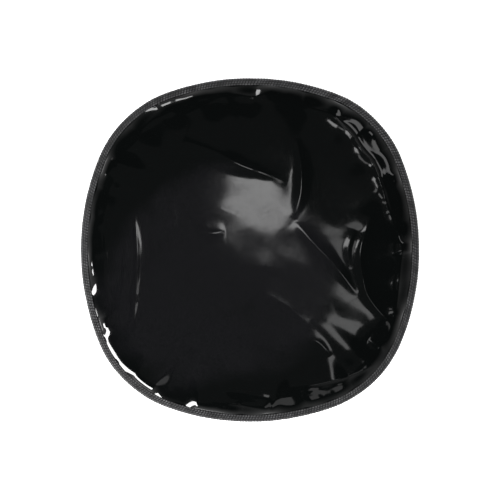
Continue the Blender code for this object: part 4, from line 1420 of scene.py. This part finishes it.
@dataclass
class Sleeve(Part):
    """An arm sleeve: stitched collar, gathered tube and elastic cuff."""

    word: str = "left"
    side: int = -1
    root: float = 0.0512
    cuff: float = 0.0372
    depth: float = 0.0200
    travel: float = 0.1600
    folds: int = 8
    fold_height: float = 9.8 * MM
    seed: int = 200

    def build(self) -> None:
        """Build the collar, the tube and the cuff."""
        way = ArmWay(self.side)
        self.collar(way)
        self.tube(way)
        self.build_cuff(way)
        self.redress(f"cuff_elastic_{self.word}", self.finishes.elastic, 0.0004)

    def collar(self, way: ArmWay) -> None:
        """The webbing ring sewn round the arm hole, with two rows of stitches.

        Args:
            way: the sleeve's axis.
        """
        turn = np.linspace(0.0, TURN, 200, endpoint=False)[:, None]
        inner, outer = self.root + 0.0010, self.root + 0.0113
        radius = np.concatenate([[inner, inner + 0.0002], np.linspace(inner + 0.0008, outer - 0.0008, 9),
                                 [outer - 0.0002, outer]])[None, :]
        proud = np.concatenate([[0.0003, 0.0011], np.full(9, 0.0015), [0.0011, 0.0003]])[None, :]
        proud = proud + 0.00012 * Ripple(self.seed, 0.03, 0.01, 10).ring(turn, inner, radius)
        radius, turned = np.broadcast_arrays(radius, turn)
        along = way.on_wall(radius, turned, proud)
        uv = np.stack([turned * self.root, radius], axis=2)
        ring = lattice(f"sleeve_collar_{self.word}_ring", way.points(radius, turned, along), wrap_rows=True, uv=uv)
        self.settle(ring, self.finishes.webbing, "bag", "webbing", f"sleeve_collar_{self.word}")
        for name, place in (("inner", inner + 0.0024), ("outer", outer - 0.0024)):
            count = int(TURN * place / (3.4 * MM))
            t = np.linspace(0.0, TURN, count, endpoint=False)
            r = np.full(count, place)
            path = way.points(r, t, way.on_wall(r, t, 0.0016))
            out = way.points(r, t, way.on_wall(r, t, 0.0030)) - path + 1e-5 * way.out
            row = stitch_row(f"sleeve_stitches_{self.word}_{name}", path, out)
            self.settle(row, self.finishes.thread, "bag", "webbing")

    def tube(self, way: ArmWay) -> None:
        """The long tube, pushed back in folds against the wall.

        Args:
            way: the sleeve's axis.
        """
        turn = np.linspace(0.0, TURN, 168, endpoint=False)[:, None]
        steps = self.folds * 14 + 1
        t = np.linspace(0.0, 1.0, steps)[None, :]
        start = way.on_wall(np.full(turn.shape, self.root), turn, 0.0004)
        wander = Ripple(self.seed + 1, 0.09, 0.03, 12).ring(turn, 0.045, 0.02 * t)
        phase = self.folds * t + 0.28 * wander * np.sin(math.pi * t)
        bulge = 0.5 - 0.5 * np.cos(TURN * phase)
        body = self.root + (self.cuff - self.root) * smooth(0.45, 1.0, t)
        uneven = 0.85 + 0.15 * Ripple(self.seed + 2, 0.05, 0.02).ring(turn, 0.045, t * 0.03)
        tall = self.fold_height * np.sin(math.pi * t) ** 0.35 * uneven
        radius = body + tall * (bulge**0.8 - 0.30)
        crinkle = Ripple(self.seed + 3, 0.016, 0.007, 16).ring(turn, 0.045, t * 0.10)
        radius = radius + 0.0007 * crinkle * np.sin(math.pi * t)
        reach = start + (self.depth - start) * (t + 0.022 * np.sin(2 * TURN * phase))
        droop = -0.0022 * np.sin(math.pi * t)
        points = way.points(radius, turn, reach)
        points[..., 2] += droop
        uv = paired(turn * 0.048, 0.160 * t)
        tube = lattice(f"sleeve_{self.word}_cloth", points, wrap_rows=True, uv=uv)
        thicken(tube, 0.5 * MM)
        tube.data.materials.append(self.finishes.sleeve)
        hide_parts(f"sleeve_{self.word}")
        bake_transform(tube)
        LOG.info("%s bends from bag to cuff_%s", tube.name, self.word)

    def build_cuff(self, way: ArmWay) -> None:
        """The cuff: cloth gathered over elastic, with fine pleats.

        Args:
            way: the sleeve's axis.
        """
        turn = np.linspace(0.0, TURN, 360, endpoint=False)[:, None]
        loop = np.linspace(0.0, TURN * 0.86, 34)[None, :] + math.pi * 0.14 + math.pi / 2
        middle = self.depth + 0.0046
        thick, half = 0.0034, 0.0042
        pleat = Ripple(self.seed + 5, 0.010, 0.005, 14).ring(turn, 0.037, 0.02 * np.cos(loop))
        deep = 0.0005 * pleat + 0.0004 * np.sin(46 * turn)
        out_r = np.sign(np.cos(loop + math.pi / 2)) * np.abs(np.cos(loop + math.pi / 2)) ** 0.7
        out_a = np.sign(np.sin(loop + math.pi / 2)) * np.abs(np.sin(loop + math.pi / 2)) ** 0.8
        radius = self.cuff - 0.0030 + (thick + deep) * out_r
        along = middle + (half + 0.4 * deep) * out_a
        uv = paired(turn * 0.037, loop * 0.004)
        cuff = lattice(f"cuff_{self.word}_hem", way.points(radius, turn, along), wrap_rows=True, uv=uv)
        thicken(cuff, 0.45 * MM)
        self.settle(cuff, self.finishes.sleeve, f"cuff_{self.word}", "cloth", f"cuff_{self.word}")
        for name, at in (("near", -0.0024), ("far", 0.0024)):
            count = int(TURN * self.cuff / (3.2 * MM))
            t = np.linspace(0.0, TURN, count, endpoint=False)
            path = way.points(np.full(count, self.cuff + 0.00035), t, np.full(count, middle + at))
            out = way.points(np.full(count, self.cuff + 0.01), t, np.full(count, middle + at)) - path
            row = stitch_row(f"cuff_stitches_{self.word}_{name}", path, out, 2.3 * MM)
            self.settle(row, self.finishes.thread, f"cuff_{self.word}", "cloth")


@dataclass
class Zip(Part):
    """The zip: woven tapes, two rows of coil teeth, sliders, pulls and end stops."""

    tooth_pitch: float = 1.7 * MM
    end_angle: float = 8.7
    hinge_half: float = 40.3 * MM

    def tape(self, name: str, node: str, body: str) -> None:
        """One side's tape, with its woven ribs.

        Args:
            name: the piece's name.
            node: the frame node that it stands for.
            body: the body that it rides on.
        """
        low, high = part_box(node)
        height = np.linspace(low.z, high.z, 16)
        angle = OUTLINE.even(620, 90.0 + self.end_angle, 450.0 - self.end_angle)
        run = OUTLINE.run(angle)[:, None]
        rib = 0.00008 * np.cos(np.linspace(0.0, 4 * TURN, 16))[None, :]
        wave = 0.0001 * Ripple(301, 0.06, 0.02, 12).band(angle[:, None], height[None, :])
        rows = OUTLINE.sweep(angle, TAPE_INSET + 0.00012 + rib + wave, height)
        uv = paired(height[None, :], run)
        tape = lattice(name, rows, uv=uv)
        thicken(tape, 0.5 * MM)
        self.settle(tape, self.finishes.tape, body, "webbing", node)

    def teeth(self, name: str, node: str, body: str, up: int) -> None:
        """One row of coil teeth.

        Args:
            name: the piece's name.
            node: the frame node that it stands for.
            body: the body that it rides on.
            up: 1 for the upper row, -1 for the lower.
        """
        length = OUTLINE.girth - 2 * self.hinge_half
        count = int(length / self.tooth_pitch)
        angle = OUTLINE.even(count, 90.0 + self.end_angle + 0.2, 450.0 - self.end_angle - 0.2)
        if up > 0:
            angle = angle + np.gradient(angle) * 0.5
            angle = angle[:-1]
        ring = 7
        along = np.linspace(-1.0, 1.0, ring)
        spread = 0.62 * MM * np.sqrt(1.0 - np.abs(along) ** 2.6 * 0.92)
        head = smooth(0.0, 1.0, (1 - along) / 2)
        z_mid = ZIP_Z + up * (0.0013 + 0.0016 * along)
        sides = 8
        turns = np.linspace(0.0, TURN, sides, endpoint=False)
        out = outward(angle)
        tang = np.stack([-np.sin(angle), np.cos(angle), np.zeros_like(angle)], axis=1)
        x, y = OUTLINE.at(angle, np.full_like(angle, TAPE_INSET - 0.0015))
        base = np.stack([x, y, np.zeros_like(x)], axis=1)
        deep = (0.95 + 0.25 * head) * MM * np.sqrt(1 - 0.8 * np.abs(along) ** 3)
        points = (
            base[:, None, None, :]
            + tang[:, None, None, :] * (spread[None, :, None, None] * np.cos(turns)[None, None, :, None])
            + out[:, None, None, :] * (deep[None, :, None, None] * np.sin(turns)[None, None, :, None])
            + np.array([0.0, 0.0, 1.0]) * z_mid[None, :, None, None]
        )
        one = lattice_faces(ring, sides, False, True)
        caps = np.array([[0, 1, 2, 3], [0, 3, 4, 7], [4, 5, 6, 7]])
        far = caps[:, ::-1] + (ring - 1) * sides
        one = np.concatenate([one, caps, far])
        faces = (one[None, :, :] + (np.arange(len(angle)) * ring * sides)[:, None, None]).reshape(-1, 4)
        row = mesh_piece(name, points.reshape(-1, 3), faces)
        self.settle(row, self.finishes.coil, body, "nylon", node)
        cord_z = ZIP_Z + up * 0.0021
        ring_turns = np.linspace(0.0, TURN, 8, endpoint=False)
        angle = OUTLINE.even(520, 90.0 + self.end_angle, 450.0 - self.end_angle)
        inset = TAPE_INSET - 0.0021 - 0.0005 * np.cos(ring_turns)
        cord = lattice(f"{name}_cord", OUTLINE.sweep(angle, inset, cord_z + 0.0005 * np.sin(ring_turns)),
                       wrap_columns=True)
        self.settle(cord, self.finishes.thread, body, "nylon")

    def hinge(self) -> None:
        """The cloth hinge at the rear."""
        low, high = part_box("hinge_tape")
        height = np.linspace(low.z, high.z, 40)
        angle = np.radians(np.linspace(90.0 - self.end_angle + 0.1, 90.0 + self.end_angle - 0.1, 60))
        run = OUTLINE.run(angle)[:, None]
        rows = OUTLINE.sweep(angle, TAPE_INSET + 0.0001 + 0.0001 * np.sin(height * 2400)[None, :], height)
        uv = paired(run, height[None, :])
        cloth = lattice("hinge_tape_cloth", rows, uv=uv)
        thicken(cloth, 0.6 * MM)
        cloth.data.materials.append(self.finishes.tape)
        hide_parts("hinge_tape")
        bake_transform(cloth)
        LOG.info("hinge_tape_cloth bends from bag to lid")

    def build(self) -> None:
        """Build the whole zip."""
        self.tape("zip_tape_lower_cloth", "zip_tape_lower", "bag")
        self.tape("zip_tape_upper_cloth", "zip_tape_upper", "lid")
        self.teeth("zip_teeth_lower", "zip_coil_lower", "bag", -1)
        self.teeth("zip_teeth_upper", "zip_coil_upper", "lid", 1)
        self.hinge()
        for word in ("left", "right"):
            self.redress(f"zip_slider_{word}", self.finishes.slider, 0.0004)
            self.redress(f"zip_stop_{word}", self.finishes.slider, 0.0003)
            self.redress(f"zip_pull_{word}", self.finishes.pull, 0.0004)


def strap_section(width: float, thick: float) -> tuple[np.ndarray, np.ndarray]:
    """A webbing strap's section: rounded edges and faint ribs along it.

    Args:
        width: the strap's width.
        thick: its thickness.

    Returns:
        Places across the strap and off its middle plane, once round.
    """
    across = np.linspace(-width / 2 + 0.4 * thick, width / 2 - 0.4 * thick, 19)
    ribs = thick / 2 - 0.00009 * (1 - np.cos(np.linspace(0.0, 6 * TURN, 19)))
    edge = np.linspace(math.pi / 2, -math.pi / 2, 5)[1:-1]
    ex, en = 0.4 * thick * np.cos(edge), 0.42 * thick * np.sin(edge)
    v = np.concatenate([across, across[-1] + ex, across[::-1], across[0] - ex])
    n = np.concatenate([ribs, en, -ribs[::-1], -en])
    return v, n


@dataclass
class Handle(Part):
    """A grab handle of doubled webbing on two wire rings, each in a stitched loop on the wall."""

    word: str = "left"
    side: int = -1
    width: float = 0.0198
    thick: float = 1.25 * MM
    bend: float = 0.030
    eye: float = 2.5 * MM

    def __post_init__(self) -> None:
        """Find the rings' bars."""
        low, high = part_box(f"handle_ring_{self.word}_rear")
        wire = (high.x - low.x) / 2
        self.plane = (low.x + high.x) / 2
        self.span = (low.y + high.y) / 2
        self.upper, self.lower = high.z - wire, low.z + wire

    def loop_line(self) -> np.ndarray:
        """The doubled strap's middle line: rows of (y, z, off, normal off, normal up, turn)."""
        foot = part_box(f"handle_{self.word}")[0].z + self.width / 2
        start = foot + self.bend
        rows = []
        for z in np.linspace(self.lower, start, 12)[:-1]:
            rows.append((-self.span, z, 0.0))
        for turn in np.linspace(0.0, math.pi / 2, 20):
            rows.append((-self.span + self.bend * (1 - math.cos(turn)), start - self.bend * math.sin(turn), turn))
        for y in np.linspace(-self.span + self.bend, 0.0, 8)[1:]:
            rows.append((y, foot, math.pi / 2))
        half = np.array(rows)
        other = half[::-1][1:].copy()
        other[:, 0] *= -1
        other[:, 2] = math.pi - other[:, 2]
        line = np.concatenate([half, other])
        drop = smooth(0.0, 0.009, self.lower - line[:, 1])
        off = self.eye + (0.55 * self.thick - self.eye) * drop
        blank = np.zeros(len(line))
        face = np.stack([line[:, 0], line[:, 1], off, blank + 1, blank, line[:, 2]], axis=1)
        over = np.linspace(0.0, math.pi, 12)[1:-1]
        wrap = np.stack([np.full(10, self.span), self.lower + self.eye * np.sin(over), self.eye * np.cos(over),
                         np.cos(over), np.sin(over), np.full(10, math.pi)], axis=1)
        back = face[::-1].copy()
        back[:, 2] *= -1
        back[:, 3] *= -1
        home = wrap[::-1].copy()
        home[:, 0] *= -1
        home[:, 5] = 0.0
        return np.concatenate([face, wrap, back, home])

    def strap(self, line: np.ndarray, v: np.ndarray, n: np.ndarray) -> np.ndarray:
        """Points of the strap: for each row of its line, across it and off it.

        Args:
            line: rows of the middle line.
            v: places across the strap.
            n: places off its middle plane.

        Returns:
            A (rows, places, 3) grid.
        """
        y, z, off, out, rise, turn = (line[:, k][:, None] for k in range(6))
        x = self.plane + self.side * (off + n[None, :] * out)
        return np.stack([x, y + v[None, :] * np.cos(turn), z + v[None, :] * np.sin(turn) + n[None, :] * rise], axis=2)

    def build_grip(self) -> None:
        """The doubled strap with two rows of stitches and a bar of stitches at each end."""
        line = self.loop_line()
        v, n = strap_section(self.width, self.thick)
        rows = self.strap(line, v, n)
        step = np.linalg.norm(np.diff(rows.mean(axis=1), axis=0, prepend=rows.mean(axis=1)[:1]), axis=1)
        uv = paired(v[None, :] + 4 * n[None, :], np.cumsum(step)[:, None])
        grip = lattice(f"handle_{self.word}_webbing", rows, wrap_rows=True, wrap_columns=True, uv=uv,
                       flip=self.side < 0)
        self.settle(grip, self.finishes.webbing, f"handle_{self.word}", "webbing", f"handle_{self.word}")
        face = line[: (len(line) - 20) // 2]
        inner = face[np.abs(face[:, 1]) < self.lower - 0.006]
        for name, at in (("inner", -0.0075), ("outer", 0.0075)):
            points = self.strap(inner, np.array([at]), np.array([0.52 * self.thick]))[:, 0]
            self.stitches(f"handle_{self.word}_stitches_{name}", points, f"handle_{self.word}", 3.6 * MM)
        for end in (-1, 1):
            for k, drop in enumerate((0.0075, 0.0095)):
                y = end * self.span + np.linspace(-0.0075, 0.0075, 12)
                x = self.plane + self.side * 1.12 * self.thick
                points = np.stack([np.full(12, x), y, np.full(12, self.lower - drop)], axis=1)
                self.stitches(f"handle_{self.word}_bar_{k}_{'front' if end < 0 else 'rear'}", points,
                              f"handle_{self.word}", 1.3 * MM)

    def stitches(self, name: str, points: np.ndarray, body: str, pitch: float) -> None:
        """A row of stitches along a line of points on the outer face.

        Args:
            name: the piece's name.
            points: (n, 3) points of the line.
            body: the body that it rides on.
            pitch: distance from stitch to stitch.
        """
        length = np.concatenate([[0.0], np.cumsum(np.linalg.norm(np.diff(points, axis=0), axis=1))])
        count = max(3, int(length[-1] / pitch))
        wanted = np.linspace(0.0, length[-1], count)
        path = np.stack([np.interp(wanted, length, points[:, k]) for k in range(3)], axis=1)
        out = np.tile([float(self.side), 0.0, 0.0], (count, 1))
        row = stitch_row(name, path, out, 0.72 * pitch)
        self.settle(row, self.finishes.thread, body, "webbing")

    def on_wall(self, y: np.ndarray, z: np.ndarray) -> np.ndarray:
        """The wall's x beside the handle, at a y and a height."""
        bow = OUTLINE.bow
        return self.side * (OUTLINE.half_width - bow + np.sqrt((bow - wall_inset(z)) ** 2 - y**2))

    def build_loop(self, where: str, end: int) -> None:
        """A loop of webbing sewn to the wall, round the ring's upper bar.

        Args:
            where: front or rear.
            end: -1 at the front, 1 at the rear.
        """
        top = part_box(f"handle_loop_{self.word}_{where}")[1].z - 0.0005
        down = np.linspace(top, self.upper, 22)
        near = smooth(self.upper + 0.016, self.upper + 0.001, down)
        over = np.linspace(0.0, -math.pi, 12)[1:-1]
        z = np.concatenate([down, self.upper + self.eye * np.sin(over), down[::-1]])
        held = np.concatenate([near, np.ones(10), near[::-1]])
        out_x = np.concatenate([np.ones(22), np.cos(over), -np.ones(22)])
        out_z = np.concatenate([np.zeros(22), np.sin(over), np.zeros(22)])
        proud = np.concatenate([np.full(22, 0.0021), np.zeros(10), np.full(22, 0.0009)])
        v, n = strap_section(self.width, 0.9 * self.thick)
        y = end * self.span + v[None, :] + 0.0 * z[:, None]
        height = z[:, None] + out_z[:, None] * n[None, :]
        wall = self.on_wall(y, height) + self.side * (proud[:, None] + out_x[:, None] * n[None, :])
        ring = self.plane + self.side * (self.eye * out_x[:, None] + out_x[:, None] * n[None, :])
        rows = np.stack([wall * (1 - held[:, None]) + ring * held[:, None], y, height], axis=2)
        uv = paired(v[None, :] + 4 * n[None, :], np.cumsum(np.full(54, 0.0016))[:, None])
        loop = lattice(f"handle_loop_{self.word}_{where}_webbing", rows, wrap_columns=True, uv=uv, flip=self.side > 0)
        self.settle(loop, self.finishes.webbing, "bag", "webbing", f"handle_loop_{self.word}_{where}")
        sew = [(-0.0075, 0.0), (0.0075, 0.0), (0.0075, 0.011), (-0.0075, 0.0), (-0.0075, 0.011), (0.0075, 0.0),
               (0.0075, 0.011), (-0.0075, 0.011)]
        for k, (a, b) in enumerate(zip(sew[:-1], sew[1:])):
            t = np.linspace(0.0, 1.0, 9)
            sy = end * self.span + a[0] + (b[0] - a[0]) * t
            sz = top - 0.0135 + a[1] + (b[1] - a[1]) * t
            x = self.on_wall(sy, sz) + self.side * (0.0021 + 0.5 * self.thick)
            self.stitches(f"handle_loop_{self.word}_{where}_sewn_{k}", np.stack([x, sy, sz], axis=1), "bag", 2.3 * MM)

    def build(self) -> None:
        """Build the handle and its loops, and dress its rings."""
        self.build_grip()
        for where, end in (("front", -1), ("rear", 1)):
            self.redress(f"handle_ring_{self.word}_{where}", self.finishes.steel)
            self.build_loop(where, end)


@dataclass(frozen=True)
class Lamp:
    """A soft rectangular light, aimed at the lid or, where it has a turn, facing straight down."""

    name: str
    spot: tuple
    size: tuple
    watts: float
    turn: float | None = None
    mirrored: bool = True
    aim: tuple = (0.0, 0.0, 0.2)

    def build(self) -> None:
        """Make the light."""
        data = bpy.data.lights.new(self.name, "AREA")
        data.shape = "RECTANGLE"
        data.size, data.size_y = self.size
        data.energy = self.watts
        light = bpy.data.objects.new(self.name, data)
        bpy.context.scene.collection.objects.link(light)
        light.location = self.spot
        if self.turn is None:
            light.rotation_euler = (Vector(self.aim) - Vector(self.spot)).to_track_quat("-Z", "Y").to_euler()
        else:
            light.rotation_euler = (0.0, 0.0, math.radians(self.turn))
        light.visible_camera = False
        light.visible_glossy = self.mirrored


@dataclass
class Studio:
    """A plain pale floor, soft lights and a camera straight above the lid."""

    distance: float = 1.60
    view_width: float = 0.5590
    lamps: tuple = (
        Lamp("overhead_fill", (0.0, 0.0, 4.5), (14.0, 14.0), 1500.0, mirrored=False),
        Lamp("dim_ceiling", (-0.16, -0.10, 2.0), (0.95, 1.05), 0.13, 24.0),
        Lamp("upper_patch", (0.030, 0.078, 1.25), (0.088, 0.088), 0.125, -22.0),
        Lamp("middle_patch", (0.130, 0.026, 1.25), (0.085, 0.050), 0.022, -8.0),
        Lamp("slanting_strip", (0.195, -0.145, 1.25), (0.055, 0.150), 0.055, 39.0),
        Lamp("front_left_window", (-1.12, -1.00, 1.05), (1.5, 0.56), 74.0),
        Lamp("right_window", (0.66, 0.56, 1.40), (0.30, 0.16), 0.33),
        Lamp("rear_window", (-0.75, 1.55, 1.35), (0.40, 0.25), 3.0),
        Lamp("low_panel", (0.36, -0.72, 1.50), (0.42, 0.34), 0.34),
    )

    def build(self) -> None:
        """Set the floor, the lights, the room's light and the camera."""
        scene = bpy.context.scene
        bpy.ops.mesh.primitive_plane_add(size=14.0, location=(0.0, 0.0, 0.0))
        floor = bpy.context.object
        floor.name = "floor"
        t = Tree("pale_floor")
        speck = t.noise(t.place(), 0.4, 2.0)
        t.dress(Base_Color=t.blend(speck, (0.86, 0.86, 0.86), (0.90, 0.90, 0.90)), Roughness=0.9)
        floor.data.materials.append(t.material)
        world = bpy.data.worlds.new("room")
        world.use_nodes = True
        scene.world = world
        nodes, links = world.node_tree.nodes, world.node_tree.links
        where = nodes.new("ShaderNodeTexCoord")
        split = nodes.new("ShaderNodeSeparateXYZ")
        links.new(where.outputs["Generated"], split.inputs[0])
        rise = nodes.new("ShaderNodeMapRange")
        for index, number in enumerate((0.06, 0.80, 1.0, 0.03), 1):
            rise.inputs[index].default_value = number
        links.new(split.outputs[2], rise.inputs[0])
        links.new(rise.outputs[0], nodes["Background"].inputs["Strength"])
        nodes["Background"].inputs["Color"].default_value = (1.0, 1.0, 1.0, 1.0)
        for lamp in self.lamps:
            lamp.build()
        camera_data = bpy.data.cameras.new("camera")
        camera = bpy.data.objects.new("camera", camera_data)
        scene.collection.objects.link(camera)
        camera.location = (0.0, 0.0, LID_HIGH.z + self.distance)
        camera.rotation_euler = (0.0, 0.0, 0.0)
        camera_data.sensor_width = 36.0
        camera_data.lens = 36.0 * self.distance / self.view_width
        scene.camera = camera
        scene.view_settings.view_transform = "Standard"


def main() -> None:
    """Build the bag and the studio, and report each piece."""
    logging.basicConfig(level=logging.INFO, format="%(name)s: %(message)s")
    finishes = Finishes()
    Studio().build()
    Lid(finishes).build()
    Wall(finishes).build()
    Liner(finishes).build()
    Zip(finishes).build()
    for word, side in (("left", -1), ("right", 1)):
        Sleeve(finishes, word=word, side=side, seed=200 + 20 * side).build()
        Handle(finishes, word=word, side=side).build()


if __name__ == "__main__":
    main()
